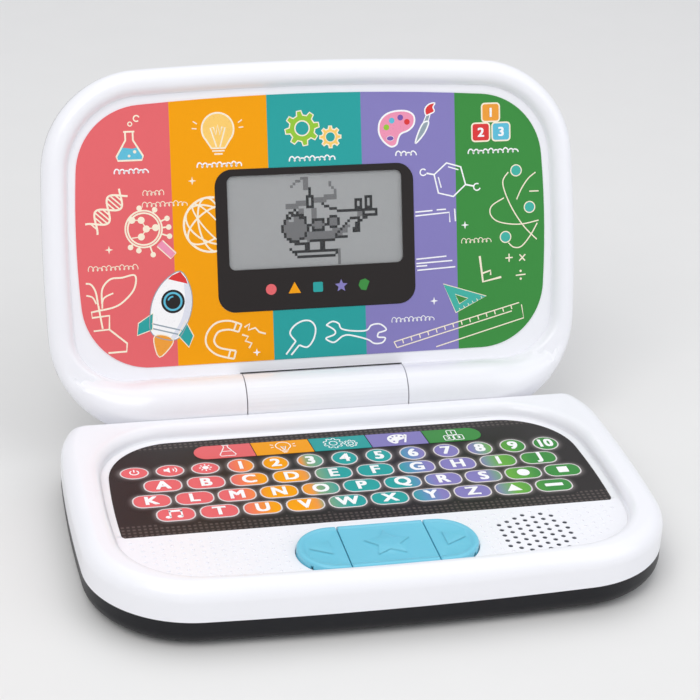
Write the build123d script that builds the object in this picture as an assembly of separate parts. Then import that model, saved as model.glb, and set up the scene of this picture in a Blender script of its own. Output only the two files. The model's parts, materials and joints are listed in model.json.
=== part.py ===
from build123d import *
import os
from math import cos, hypot, radians, sin

# Toy laptop computer: a lid with a small screen, hinged on a base that holds a
# membrane keyboard, three push buttons, a speaker and three AA cells.
# Millimetres. +X right, +Y back, +Z up. The origin is on the table, under the
# middle of the open toy. The lid is drawn open, at its stop.

# Case
width = 250.0
front_reach = 155.0  # hinge axis to the base's front edge
back_reach = 13.0  # hinge axis to the base's back edge
corner_radius = 46.0
side_bow = 4.0  # how far a side bows out between its corners
far_bow = 5.0  # the same for the edge away from the hinge
wall = 2.2

# Base heights
foot_height = 1.5  # underside of the base above the table
seam_z = 13.0  # where the black and white housings meet
deck_depth = 6.0  # top of the rim to the deck
base_rim = 15.0
base_front_rim = 12.0
floor_radius = 7.0
crest_radius = 7.0
inner_crest_radius = 4.8
rim_wall = 4.2  # outside of the rim to the hollow in it
rim_roof = 3.5  # crest to the hollow in the rim

# Hinge and lid
hinge_rise = 0.2  # hinge axis above the crest
open_angle = 108.0  # from closed
barrel_radius = 12.5
barrel_half = 37.5
barrel_wall = 4.0
hinge_gap = 0.5
trough_gap = 0.6
trough_skirt = 2.0  # trough's wall to where the rim closes behind it
back_lip_drop = 9.0  # hinge axis above the base's back lip
pin_radius = 3.0
pin_bore_gap = 0.05
pin_end_gap = 0.3
pin_length = 14.0
pin_seat = 6.5  # length of pin held in the barrel
cable_radius = 1.2
bush_radius = 5.0
bush_length = 6.0
cable_room = 5.0  # hollow past a bush, where the cable turns
lid_far = 154.0  # hinge axis to the lid's top edge
lid_depth = 12.5  # rim crest to the lid's back
lid_seam = 7.0  # rim crest to the seam between the lid's halves
lid_rim = 11.7
lid_recess = 5.0  # rim crest to the printed panel
lid_back_radius = 4.5
lid_pocket_near = 14.0
lid_bore_cover = 0.8
lid_head_depth = 1.4  # lid's back to the underside of its screws' heads

# Printed panels
film = 0.4
membrane = 0.8
panel_gap = 3.3  # white margin between a pocket's wall and its printed panel
panel_radius = 31.0
deck_pocket_near = 20.0  # hinge axis to the back of the deck's pocket
keyboard_near = 23.5
keyboard_front_gap = 23.5  # keyboard panel's front edge to the buttons' middle
keyboard_corner = 3.0
label_near = 17.4

# Screen
lens_size = (93.1, 65.5)
lens_radius = 8.0
lens_near = 22.9  # label's lower edge to the lens
lens_thick = 1.0
lens_gap = 0.1
window_size = (81.9, 42.9)
window_near = 42.3  # label's lower edge to the clear window
lcd_border = 3.0
lcd_thick = 1.8
lcd_frame_wall = 3.0
lcd_frame_depth = 1.6
lcd_frame_radius = 1.5
lcd_board_thick = 1.2

# Buttons
button_pill = (76.5, 32.0)
button_middle = 37.0  # width of the star button
buttons_ahead = 30.0  # base's front edge to the buttons' middle
button_rise = 3.0
button_gap = 0.4
button_travel = 1.2
button_flange = 1.5
button_rim = 3.0  # raised edge round the three buttons
dish_depth = 0.6
dish_taper = 40.0
star_radius = 10.0
star_waist = 4.7
dome_height = 1.0
dome_radius = 4.0
mat_size = (72.0, 22.0)
mat_thick = 1.0
button_wall = 2.2
plunger_radius = 3.0
button_drop = 7.2  # button's flange to the board under it

# Speaker
speaker_x = 65.0
speaker_ahead = 32.0  # base's front edge to the speaker's middle
speaker_radius = 18.0
speaker_cup_radius = 15.0
speaker_height = 9.0
speaker_flange = 1.5
magnet_radius = 10.0
magnet_height = 3.5
retainer_reach = 3.5  # speaker's edge to a retainer screw
grille_radius = 16.5
grille_hole = 1.05
grille_column = 4.06
grille_pitch = 4.19

# Batteries
cell_radius = 7.25
cell_length = 49.5
cell_pitch = 14.9
cell_room = 2.1  # spare height over a cell
cell_nub = 1.0
nub_radius = 2.75
contact_thick = 0.5
contact_half = 5.0
spring_radius = 3.4
spring_wire = 0.8
bay_length = 60.0
bay_wall = 1.6
bay_room = 0.6  # spare width beside the cells
door_ledge = 1.2  # thickness of the door's rim
door_margin = 4.0
door_tongue = 12.0  # how far the door's screw end reaches past the bay
door_gap = 0.3
door_screw_inset = 4.5
door_post_height = 7.0
grip_ridges = (-24, -20, -16, -12)
grip_half = 12.0
grip_width = 1.2

# Boards and fasteners
board_thick = 1.6
main_board_size = (54.0, 42.0)
main_board_rise = 2.3  # bottom housing's floor to the main board
board_post_radius = 2.0
chip_height = 1.6
blob_radius = 7.0
tail_width = 16.0
tail_thick = 0.4
socket_top = 4.2  # bottom housing's floor to the top of the tail's socket
button_board_size = (78.0, 28.0)
screw_radius = 1.4
screw_gap = 0.05
screw_head = 2.9
screw_cover = 1.3  # plastic left over the end of a screw's bore
small_screw_radius = 1.0
small_head = 2.0
boss_radius = 4.2
pillar_radius = 3.6
small_pillar_radius = 2.6
foot_radius = 6.0
foot_edge = 0.6
foot_fit = 0.05
foot_recess = 0.8
clearance = 0.2

deck_z = foot_height + 2 * wall + 2 * cell_radius + cell_room
crest_z = deck_z + deck_depth
hinge_z = crest_z + hinge_rise
tilt = 180.0 - open_angle  # lid above the horizontal
lid_behind = lid_far * cos(radians(tilt)) + lid_depth * sin(radians(tilt))
hinge_y = (front_reach - lid_behind) / 2
front_y = hinge_y - front_reach
button_y = front_y + buttons_ahead
speaker_y = front_y + speaker_ahead
keyboard_front = front_reach - buttons_ahead - keyboard_front_gap
bay_depth = 3 * cell_pitch + bay_room
bay_y = hinge_y - (keyboard_near + keyboard_front) / 2
trough_radius = barrel_radius + trough_gap
deck_under = deck_z - wall
floor_top = foot_height + wall
rear_wall = trough_radius + wall + trough_skirt
lid_place = Plane(
    origin=(0, hinge_y, hinge_z),
    x_dir=(1, 0, 0),
    z_dir=(0, -sin(radians(tilt)), cos(radians(tilt))),
).location
boss_points = [
    (side * (width / 2 - inset), hinge_y - ahead)
    for side in (-1, 1)
    for inset, ahead in ((30, 28), (19, front_reach / 2), (33, front_reach - 27))
]
foot_points = [
    (side * (width / 2 - 37), hinge_y - ahead)
    for side in (-1, 1)
    for ahead in (12, front_reach - 16)
]


def bowed_panel(half_width, near, far, radius):
    # Straight edge at y = near, towards the hinge; the other three edges bow out.
    right, edge = half_width - side_bow, far - far_bow
    middle = (near + edge) / 2
    outline = [
        Line((-right, near), (right, near)),
        ThreePointArc((right, near), (half_width, middle), (right, edge)),
        ThreePointArc((right, edge), (0, far), (-right, edge)),
        ThreePointArc((-right, edge), (-half_width, middle), (-right, near)),
    ]
    face = make_face(outline)
    return fillet(face.vertices(), radius)


def raised(face, low, high):
    return Pos(0, 0, low) * extrude(face, high - low, dir=(0, 0, 1))


def on_base(shape):
    # From distances in front of the hinge axis to the base's own place.
    return Pos(0, hinge_y, 0) * Rot(0, 0, 180) * shape


def base_prism(low, high, inset=0.0):
    face = bowed_panel(
        width / 2 - inset, inset - back_reach, front_reach - inset, corner_radius - inset
    )
    return on_base(raised(face, low, high))


def lid_panel(inset, radius, near=-barrel_radius):
    return bowed_panel(width / 2 - inset, near, lid_far - inset, radius)


def block(x_low, x_high, y_low, y_high, z_low, z_high):
    size = (x_high - x_low, y_high - y_low, z_high - z_low)
    middle = ((x_low + x_high) / 2, (y_low + y_high) / 2, (z_low + z_high) / 2)
    return Pos(*middle) * Box(*size)


def post(x, y, low, high, radius):
    return Pos(x, y, (low + high) / 2) * Cylinder(radius, high - low)


def rod(x_low, x_high, radius, y=0.0, z=0.0):
    # A cylinder along X.
    return Pos((x_low + x_high) / 2, y, z) * Rot(0, 90, 0) * Cylinder(radius, x_high - x_low)


def base_rod(x_low, x_high, radius):
    return rod(x_low, x_high, radius, hinge_y, hinge_z)


def behind_cut(low, high):
    # Everything from just in front of the trough to the back, between two heights.
    return block(-width, width, hinge_y - rear_wall, hinge_y + 2 * back_reach, low, high)


def keyboard_panel(inset=0.0):
    side = base_rim + panel_gap + inset
    face = bowed_panel(
        width / 2 - side, keyboard_near + inset, front_reach - base_front_rim, panel_radius - inset
    )
    front = keyboard_front - inset
    face = face & Pos(0, (keyboard_near + front) / 2) * Rectangle(width, front - keyboard_near)
    corners = face.vertices().sort_by(Axis.Y)[-2:]
    return fillet(corners, keyboard_corner - inset)


def grille_points():
    # Columns from front to back; every second one is half a hole along.
    steps = int(grille_radius / grille_column) + 1
    points = []
    for i in range(-steps, steps):
        for j in range(-steps, steps + 1):
            x, y = (i + 0.5) * grille_column, (j + 0.5 * (i % 2)) * grille_pitch
            if hypot(x, y) <= grille_radius:
                points.append((x, y))
    return points


def make_top_housing():
    shell = base_prism(seam_z, crest_z)
    shell = fillet(shell.faces().sort_by(Axis.Z)[-1].edges(), crest_radius)
    pocket = bowed_panel(
        width / 2 - base_rim, deck_pocket_near, front_reach - base_front_rim, panel_radius + panel_gap
    )
    shell -= on_base(raised(pocket, deck_z, crest_z + 1))
    crest = shell.faces().filter_by(Plane.XY).sort_by(Axis.Z)[-1]
    shell = fillet(crest.inner_wires()[0].edges(), inner_crest_radius)
    hollow = base_prism(seam_z - 1, deck_under, wall)
    rim_hollow = base_prism(seam_z, crest_z - rim_roof, rim_wall)
    rim_hollow -= base_prism(0, crest_z, base_front_rim - rim_wall / 2)
    shell -= (hollow + rim_hollow) - behind_cut(0, crest_z + 1)
    shell -= base_rod(-width, width, trough_radius)
    shell -= block(
        -width, width, hinge_y, hinge_y + 2 * back_reach, hinge_z - back_lip_drop, crest_z + 1
    )
    shell += block(
        -barrel_half, barrel_half, hinge_y - barrel_radius, hinge_y + barrel_radius, seam_z, hinge_z
    )
    shell += base_rod(-barrel_half, barrel_half, barrel_radius)
    pin_wall = barrel_half - pin_seat - 1
    shell -= base_rod(-pin_wall, pin_wall, barrel_radius - barrel_wall)
    shell -= block(-pin_wall, pin_wall, hinge_y - pin_seat, hinge_y + pin_seat, seam_z - 1, hinge_z)
    shell -= base_rod(-barrel_half - 1, barrel_half + 1, pin_radius)
    for x, y in boss_points:
        shell += post(x, y, seam_z, deck_under, pillar_radius)
        shell -= post(x, y, seam_z - 1, deck_under - screw_cover, screw_radius + screw_gap)
    for x, y in retainer_points():
        shell += post(x, y, speaker_flange_low(), deck_under, small_pillar_radius)
        bore_top = deck_under - speaker_flange / 5
        shell -= post(x, y, speaker_flange_low() - 1, bore_top, small_screw_radius + screw_gap)
    shell -= on_base(raised(keyboard_panel(-clearance), deck_z - film - membrane, deck_z + 1))
    shell -= tail_slot(1.0)
    opening = SlotOverall(button_pill[0] + 2 * button_gap, button_pill[1] + 2 * button_gap)
    shell -= Pos(0, button_y, 0) * raised(opening, deck_under - 1, deck_z + 1)
    holes = [
        post(speaker_x + x, speaker_y + y, deck_under - 1, deck_z + 1, grille_hole)
        for x, y in grille_points()
    ]
    return shell - holes


def make_bottom_housing():
    shell = base_prism(foot_height, seam_z)
    shell = fillet(shell.faces().sort_by(Axis.Z)[0].edges(), floor_radius)
    hollow = base_prism(floor_top, seam_z + 1, wall)
    shell -= fillet(hollow.faces().sort_by(Axis.Z)[0].edges(), floor_radius - wall)
    outer_x, outer_y = bay_length / 2 + bay_wall, bay_depth / 2 + bay_wall
    bay_top = deck_under - 1
    shell += block(-outer_x, outer_x, bay_y - outer_y, bay_y + outer_y, floor_top, bay_top)
    shell -= block(
        -bay_length / 2, bay_length / 2, bay_y - bay_depth / 2, bay_y + bay_depth / 2, 0, bay_top + 1
    )
    shell += post(door_screw_x(), bay_y, floor_top, floor_top + door_post_height, pillar_radius)
    bore_top = floor_top + door_post_height - screw_cover
    shell -= post(door_screw_x(), bay_y, 0, bore_top, screw_radius + screw_gap)
    shell -= door_plate(door_gap, foot_height - 1)
    for x, y in boss_points:
        shell += post(x, y, floor_top - 1, seam_z, boss_radius)
        shell -= post(x, y, 0, floor_top + screw_cover, screw_head + clearance)
        shell -= post(x, y, 0, seam_z + 1, screw_radius + clearance)
    for x, y in foot_points:
        shell -= post(x, y, 0, foot_height + foot_recess, foot_radius + foot_fit)
    for x, y in main_board_posts():
        shell += post(x, y, floor_top, main_board_z(), board_post_radius)
    for x, y in button_board_posts():
        shell += post(x, y, floor_top, button_board_z(), board_post_radius)
    return shell


def door_screw_x():
    return bay_length / 2 + door_tongue - door_screw_inset


def door_plate(grow, low):
    return block(
        -bay_length / 2 - door_margin - grow,
        bay_length / 2 + door_tongue + grow,
        bay_y - bay_depth / 2 - door_margin - grow,
        bay_y + bay_depth / 2 + door_margin + grow,
        low,
        foot_height + door_ledge,
    )


def make_battery_door():
    plate = fillet(door_plate(0, foot_height).edges().filter_by(Axis.Z), 3)
    inner_x, inner_y = bay_length / 2 - door_gap, bay_depth / 2 - door_gap
    plate += block(
        -inner_x, inner_x, bay_y - inner_y, bay_y + inner_y, foot_height + door_ledge, floor_top
    )
    plate -= post(door_screw_x(), bay_y, 0, floor_top, screw_radius + clearance)
    grip = [
        block(
            x - grip_width / 2, x + grip_width / 2, bay_y - grip_half, bay_y + grip_half,
            0, foot_height + door_ledge / 2,
        )
        for x in grip_ridges
    ]
    return plate - grip


def cross_screw(x, y, head_low, head_high, tip, radius=screw_radius, head=screw_head):
    # Head between the two heights, driver recess underneath, point upwards.
    screw = post(x, y, head_low, head_high, head) + post(x, y, head_high, tip, radius)
    depth = 0.6 * (head_high - head_low)
    for long_x, long_y in ((head, 0.5), (0.5, head)):
        screw -= block(
            x - long_x / 2, x + long_x / 2, y - long_y / 2, y + long_y / 2, head_low, head_low + depth
        )
    return screw


def make_case_screws():
    high = floor_top + screw_cover
    return [cross_screw(x, y, high - 1.8, high, deck_under - 2) for x, y in boss_points]


def make_door_screw():
    high = foot_height
    return cross_screw(door_screw_x(), bay_y, high - 1.0, high, floor_top + 5.5, head=2.5)


def make_rubber_feet():
    feet = []
    for x, y in foot_points:
        foot = post(x, y, 0, foot_height + foot_recess, foot_radius)
        feet.append(fillet(foot.faces().sort_by(Axis.Z)[0].edges(), foot_edge))
    return feet


def make_hinge_pins():
    inner = barrel_half - pin_seat
    pins = []
    for side in (-1, 1):
        ends = sorted((side * inner, side * (inner + pin_length)))
        pins.append(base_rod(*ends, pin_radius) - base_rod(*ends, cable_radius + clearance))
    return pins


def make_keyboard_membrane():
    return on_base(raised(keyboard_panel(), deck_z - film - membrane, deck_z - film))


def make_keyboard_overlay():
    return on_base(raised(keyboard_panel(), deck_z - film, deck_z))


def tail_slot(grow):
    x, y = main_board_place()
    half = (tail_width + grow) / 2
    middle = y + tail_width / 2 + tail_thick / 2
    reach = (tail_thick + grow) / 2
    low, high = floor_top + socket_top, deck_z - film - membrane
    return block(x - half, x + half, middle - reach, middle + reach, low, high)


def make_membrane_tail():
    tail = tail_slot(0.0)
    x, y = main_board_place()
    half, middle = tail_width / 2 + 1, y + tail_width / 2
    low, high = main_board_z() + board_thick, floor_top + socket_top
    socket = block(x - half, x + half, middle - 2, middle + 2, low, high)
    return [tail, socket]


def main_board_z():
    return floor_top + main_board_rise


def main_board_place():
    return -(bay_length / 2 + bay_wall + 3 + main_board_size[0] / 2), bay_y


def board_corners(place, size, inset=4.0):
    return [
        (place[0] + sx * (size[0] / 2 - inset), place[1] + sy * (size[1] / 2 - inset))
        for sx in (-1, 1)
        for sy in (-1, 1)
    ]


def main_board_posts():
    return board_corners(main_board_place(), main_board_size)


def make_main_board():
    x, y = main_board_place()
    face = RectangleRounded(*main_board_size, 2)
    return Pos(x, y, 0) * raised(face, main_board_z(), main_board_z() + board_thick)


def make_main_chip():
    x, y = main_board_place()
    low = main_board_z() + board_thick
    blob = post(x - 10, y - 8, low, low + chip_height, blob_radius)
    chip = block(x + 6, x + 18, y - 14, y - 4, low, low + chip_height)
    return [fillet(blob.faces().sort_by(Axis.Z)[-1].edges(), 1.2), chip]


def button_board_z():
    return deck_under - button_flange - button_drop


def button_board_posts():
    return board_corners((0, button_y), button_board_size)


def make_button_board():
    face = Pos(0, button_y) * RectangleRounded(*button_board_size, 2)
    return raised(face, button_board_z(), button_board_z() + board_thick)


def button_centres():
    side = (button_middle + button_pill[0]) / 4
    return {"left": -side, "star": 0.0, "right": side}


def make_button_mat():
    low = button_board_z() + board_thick
    mat = raised(Pos(0, button_y) * RectangleRounded(*mat_size, 3), low, low + mat_thick)
    for x in button_centres().values():
        dome = post(x, button_y, low + mat_thick, low + mat_thick + dome_height, dome_radius)
        mat += fillet(dome.faces().sort_by(Axis.Z)[-1].edges(), 0.8)
    return mat


def arrow(direction):
    return Polygon((-4.2 * direction, -5), (-4.2 * direction, 5), (4.6 * direction, 0))


def star():
    # Five points; every second corner is an inner one.
    turns = [(star_waist if k % 2 else star_radius, radians(90 + 36 * k)) for k in range(10)]
    return Polygon(*[(r * cos(a), r * sin(a)) for r, a in turns])


def make_button(name):
    # Cap above the deck, flange under it, and a plunger over the silicone dome.
    half = button_middle / 2
    spans = {
        "left": (-width, -half - button_gap / 2),
        "star": (-half + button_gap / 2, half - button_gap / 2),
        "right": (half + button_gap / 2, width),
    }
    span = block(*spans[name], button_y - 50, button_y + 50, 0, crest_z + 10)
    flange_high = deck_under - button_gap
    cap = raised(SlotOverall(*button_pill), flange_high, deck_z + button_rise)
    flange_size = [size + 2 * button_flange + 2 * button_gap for size in button_pill]
    flange = raised(SlotOverall(*flange_size), flange_high - button_flange, flange_high)
    button = (Pos(0, button_y, 0) * (cap + flange)) & span
    button = fillet(button.faces().sort_by(Axis.Z)[-1].edges(), 1.2)
    x = button_centres()[name]
    symbol = star() if name == "star" else arrow(1 if name == "right" else -1)
    top = deck_z + button_rise
    dish = SlotOverall(*[size - 2 * button_rim for size in button_pill])
    dish = Pos(0, button_y, top - dish_depth) * extrude(dish, 2 * dish_depth, taper=-dish_taper)
    button -= dish - Pos(x, button_y, 0) * raised(symbol, top - dish_depth, top)
    hollow = button_pill[1] / 2 - 5
    x_half = (button_middle if name == "star" else button_pill[0] / 2 - half) / 2 - 4
    button -= block(
        x - x_half, x + x_half, button_y - hollow, button_y + hollow, 0, deck_z + button_rise - button_wall
    )
    mat_top = button_board_z() + board_thick + mat_thick + dome_height
    low = mat_top + button_travel + clearance
    high = deck_z + button_rise - button_wall + clearance
    return button + post(x, button_y, low, high, plunger_radius)


def speaker_flange_low():
    return deck_under - speaker_flange


def retainer_points():
    reach = speaker_radius + retainer_reach
    return [(speaker_x, speaker_y + side * reach) for side in (-1, 1)]


def make_speaker_basket():
    low, x, y = deck_under - speaker_height, speaker_x, speaker_y
    basket = post(x, y, speaker_flange_low(), deck_under, speaker_radius)
    basket += post(x, y, low, speaker_flange_low(), speaker_cup_radius)
    return basket - post(x, y, low + 1, deck_under + 1, speaker_cup_radius - 1)


def make_speaker_cone():
    low, high = deck_under - speaker_height + 1, deck_under - 1.2
    outer = speaker_cup_radius - 1.2
    cone = Pos(speaker_x, speaker_y, (low + high) / 2) * Cone(5, outer, high - low)
    inner = Pos(speaker_x, speaker_y, (low + high) / 2 + 0.8) * Cone(5, outer, high - low)
    return cone - inner


def make_speaker_magnet():
    low = deck_under - speaker_height
    return post(speaker_x, speaker_y, low - magnet_height, low, magnet_radius)


def make_speaker_retainer():
    high = speaker_flange_low()
    low = high - speaker_flange
    ring = post(speaker_x, speaker_y, low, high, speaker_radius)
    for x, y in retainer_points():
        near, far = sorted((y, speaker_y))
        ring += block(x - retainer_reach, x + retainer_reach, near, far, low, high)
        ring += post(x, y, low, high, retainer_reach)
    ring -= post(speaker_x, speaker_y, 0, crest_z, speaker_cup_radius + clearance)
    for x, y in retainer_points():
        ring -= post(x, y, 0, high, small_screw_radius + clearance)
    return ring


def make_retainer_screws():
    low = speaker_flange_low() - speaker_flange
    tip = deck_under - 2 * speaker_flange / 5
    return [
        cross_screw(x, y, low - 1.0, low, tip, small_screw_radius, small_head)
        for x, y in retainer_points()
    ]


def cell_rows():
    return [bay_y + k * cell_pitch for k in (-1, 0, 1)]


def cell_z():
    return floor_top + clearance + cell_radius


def make_aa_cells():
    cells = []
    for k, y in enumerate(cell_rows()):
        side = 1 if k % 2 else -1
        start = side * (cell_nub - cell_length / 2)
        tip = start + side * cell_length
        ends, nub = sorted((start, tip)), sorted((tip, tip + side * cell_nub))
        cells.append(rod(*ends, cell_radius, y, cell_z()) + rod(*nub, nub_radius, y, cell_z()))
    return cells


def make_battery_contacts():
    plates = []
    for side in (-1, 1):
        wall_x = side * bay_length / 2
        ends = sorted((wall_x, wall_x - side * contact_thick))
        half, middle = bay_depth / 2 - 1, cell_z()
        plates.append(
            block(*ends, bay_y - half, bay_y + half, middle - contact_half, middle + contact_half)
        )
    return plates


def make_battery_springs():
    # One short coil behind the flat end of each cell, drawn as a sleeve.
    springs = []
    for k, y in enumerate(cell_rows()):
        side = 1 if k % 2 else -1
        far = -side * (bay_length / 2 - contact_thick)
        ends = sorted((far, side * (cell_nub - cell_length / 2)))
        sleeve = rod(*ends, spring_radius, y, cell_z())
        springs.append(sleeve - rod(*ends, spring_radius - spring_wire, y, cell_z()))
    return springs


def make_display_cable_base():
    # Up from the base's hollow into the barrel, then out through the left pin.
    end = -(barrel_half - pin_seat + pin_length) - 1
    path = FilletPolyline(
        (-18, hinge_y, floor_top + 3),
        (-18, hinge_y, hinge_z),
        (end, hinge_y, hinge_z),
        radius=5,
    )
    return sweep(Plane(origin=path @ 0, z_dir=path % 0) * Circle(cable_radius), path=path)


def make_display_cable_lid():
    # From the end of the hinge pin, down inside the roll and up to the screen's board.
    start = -(barrel_half - pin_seat + pin_length) - 1.2
    turn, middle = start - 8, label_near + window_near + window_size[1] / 2
    board_z = -(lid_depth - wall + lid_seam) / 2
    path = FilletPolyline(
        (start, 0, 0),
        (turn, 0, 0),
        (turn, 0, board_z),
        (turn, middle, board_z),
        (-lcd_outer(1)[0] / 2 - clearance, middle, board_z),
        radius=3.2,
    )
    return sweep(Plane(origin=path @ 0, z_dir=path % 0) * Circle(cable_radius), path=path)


def lid_prism(low, high, inset=0.0):
    return raised(lid_panel(inset, corner_radius - inset), low, high)


def lid_half(shell, low, high):
    # A half of the lid with its share of the round lower edge, notched for the barrel.
    shell -= block(-width, width, -lid_far, 0, -lid_depth - 1, lid_depth + 1)
    shell += rod(-width, width, barrel_radius) & lid_prism(low, high)
    notch = barrel_half + hinge_gap
    shell -= block(-notch, notch, -lid_far, trough_radius + 0.2, -2 * lid_depth, 2 * lid_depth)
    inner = barrel_half + hinge_gap + bush_length
    hollow_end = width / 2 - corner_radius + 12
    for side in (-1, 1):
        shell -= rod(*sorted((side * notch, side * inner)), bush_radius)
        shell -= rod(*sorted((side * inner, side * (inner + cable_room))), pin_radius + pin_end_gap)
        shell -= rod(*sorted((side * (inner + cable_room - 1), side * hollow_end)), barrel_radius - wall)
    return shell


def lens_middle():
    return label_near + lens_near + lens_size[1] / 2


def window_middle():
    return label_near + window_near + window_size[1] / 2


def lcd_outer(rings=0):
    # The display's size, with so many frame walls round it.
    grow = 2 * lcd_border + 2 * rings * lcd_frame_wall
    return window_size[0] + grow, window_size[1] + grow


def lid_screw_points():
    return [
        (side * (width / 2 - 24), y) for side in (-1, 1) for y in (label_near + 14, lid_far - 26)
    ]


def make_lid_front():
    shell = lid_prism(-lid_seam, 0)
    shell = fillet(shell.faces().sort_by(Axis.Z)[-1].edges(), lid_seam - 0.5)
    pocket = lid_panel(lid_rim, panel_radius + panel_gap, lid_pocket_near)
    shell -= raised(pocket, -lid_recess, 1)
    crest = shell.faces().filter_by(Plane.XY).sort_by(Axis.Z)[-1]
    shell = fillet(crest.inner_wires()[0].edges(), lid_recess - 0.5)
    shell = lid_half(shell, -lid_seam, lid_depth + 1)
    for x, y in lid_screw_points():
        shell += post(x, y, wall - lid_depth, -lid_seam, pillar_radius)
        shell -= post(x, y, wall - lid_depth - 1, -lid_recess - lid_bore_cover, screw_radius + screw_gap)
    lens = Pos(0, lens_middle()) * RectangleRounded(
        lens_size[0] + clearance, lens_size[1] + clearance, lens_radius
    )
    shell -= raised(lens, film - lid_recess - lens_thick, 1)
    opening = Pos(0, window_middle()) * Rectangle(*[size + clearance for size in lcd_outer()])
    return shell - raised(opening, -lid_depth, 1)


def make_lid_back():
    shell = lid_prism(-lid_depth, -lid_seam)
    shell = fillet(shell.faces().sort_by(Axis.Z)[0].edges(), lid_back_radius)
    shell = lid_half(shell, -lid_depth - 1, -lid_seam)
    notch = barrel_half + hinge_gap
    hollow = raised(
        lid_panel(lid_back_radius, corner_radius - lid_back_radius, trough_radius + wall),
        wall - lid_depth,
        0,
    )
    shell -= hollow
    for side in (-1, 1):
        ends = sorted((side * (notch + bush_length + cable_room), side * (width / 2 - corner_radius)))
        shell -= block(*ends, -4, trough_radius + 2 * wall, wall - lid_depth, 0)
    for x, y in lid_screw_points():
        shell -= post(x, y, -lid_depth - 1, lid_head_depth - lid_depth, screw_head + clearance)
        shell -= post(x, y, -lid_depth - 1, 0, screw_radius + clearance)
    return shell


def make_lid_screws():
    head = lid_head_depth - lid_depth
    tip = -lid_recess - lid_bore_cover - clearance
    return [cross_screw(x, y, head - 1.2, head, tip) for x, y in lid_screw_points()]


def make_hinge_bushes():
    bushes = []
    for side in (-1, 1):
        near = side * (barrel_half + hinge_gap)
        ends = sorted((near, near + side * bush_length))
        bushes.append(rod(*ends, bush_radius) - rod(*ends, pin_radius + pin_bore_gap))
    return bushes


def make_screen_label():
    face = bowed_panel(
        width / 2 - lid_rim - panel_gap, label_near, lid_far - lid_rim - panel_gap, panel_radius
    )
    hole = Pos(0, lens_middle()) * RectangleRounded(*lens_size, lens_radius)
    return raised(face, -lid_recess, film - lid_recess) - raised(hole, -lid_recess, 0)


def make_screen_lens():
    face = Pos(0, lens_middle()) * RectangleRounded(
        lens_size[0] - clearance, lens_size[1] - clearance, lens_radius
    )
    return raised(face, film - lid_recess - lens_thick, film - lid_recess)


def lcd_high():
    return film - lid_recess - lens_thick - lens_gap


def make_lcd_panel():
    face = Pos(0, window_middle()) * Rectangle(*[size - clearance for size in lcd_outer()])
    return raised(face, lcd_high() - lcd_thick, lcd_high())


def make_lcd_frame():
    outer = Pos(0, window_middle()) * RectangleRounded(*lcd_outer(1), lcd_frame_radius)
    inner = Pos(0, window_middle()) * Rectangle(*lcd_outer())
    return raised(outer - inner, -lid_seam - lcd_frame_depth, -lid_seam)


def make_lcd_board():
    face = Pos(0, window_middle()) * RectangleRounded(*lcd_outer(1), lcd_frame_radius)
    high = -lid_seam - lcd_frame_depth
    return raised(face, high - lcd_board_thick, high)


base_nodes = {
    "top_housing": make_top_housing,
    "bottom_housing": make_bottom_housing,
    "battery_door": make_battery_door,
    "door_screw": make_door_screw,
    "case_screws": make_case_screws,
    "rubber_feet": make_rubber_feet,
    "hinge_pins": make_hinge_pins,
    "keyboard_overlay": make_keyboard_overlay,
    "keyboard_membrane": make_keyboard_membrane,
    "membrane_tail": make_membrane_tail,
    "main_board": make_main_board,
    "main_chips": make_main_chip,
    "button_board": make_button_board,
    "button_mat": make_button_mat,
    "speaker_basket": make_speaker_basket,
    "speaker_cone": make_speaker_cone,
    "speaker_magnet": make_speaker_magnet,
    "speaker_retainer": make_speaker_retainer,
    "retainer_screws": make_retainer_screws,
    "aa_cells": make_aa_cells,
    "battery_contacts": make_battery_contacts,
    "battery_springs": make_battery_springs,
    "display_cable_base": make_display_cable_base,
}
lid_nodes = {
    "lid_front": make_lid_front,
    "lid_back": make_lid_back,
    "lid_screws": make_lid_screws,
    "hinge_bushes": make_hinge_bushes,
    "screen_label": make_screen_label,
    "screen_lens": make_screen_lens,
    "lcd_panel": make_lcd_panel,
    "lcd_frame": make_lcd_frame,
    "lcd_board": make_lcd_board,
    "display_cable_lid": make_display_cable_lid,
}


def solids_of(shape):
    shapes = shape if isinstance(shape, list) else [shape]
    return [solid for piece in shapes for solid in piece.solids()]


def write(name, solids):
    export_step(Compound(label=name, children=solids), f"parts/{name}.step")
    print(name, len(solids))


os.makedirs("parts", exist_ok=True)
for name, make in base_nodes.items():
    write(name, solids_of(make()))
for name in ("left", "star", "right"):
    write(f"{name}_button", solids_of(make_button(name)))
for name, make in lid_nodes.items():
    write(name, [lid_place * solid for solid in solids_of(make())])
print("hinge axis at y", round(hinge_y, 3), "z", hinge_z, "lid tilt", tilt)
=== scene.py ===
import bpy
import bmesh
import json
import math
from mathutils import Matrix, Vector

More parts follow.
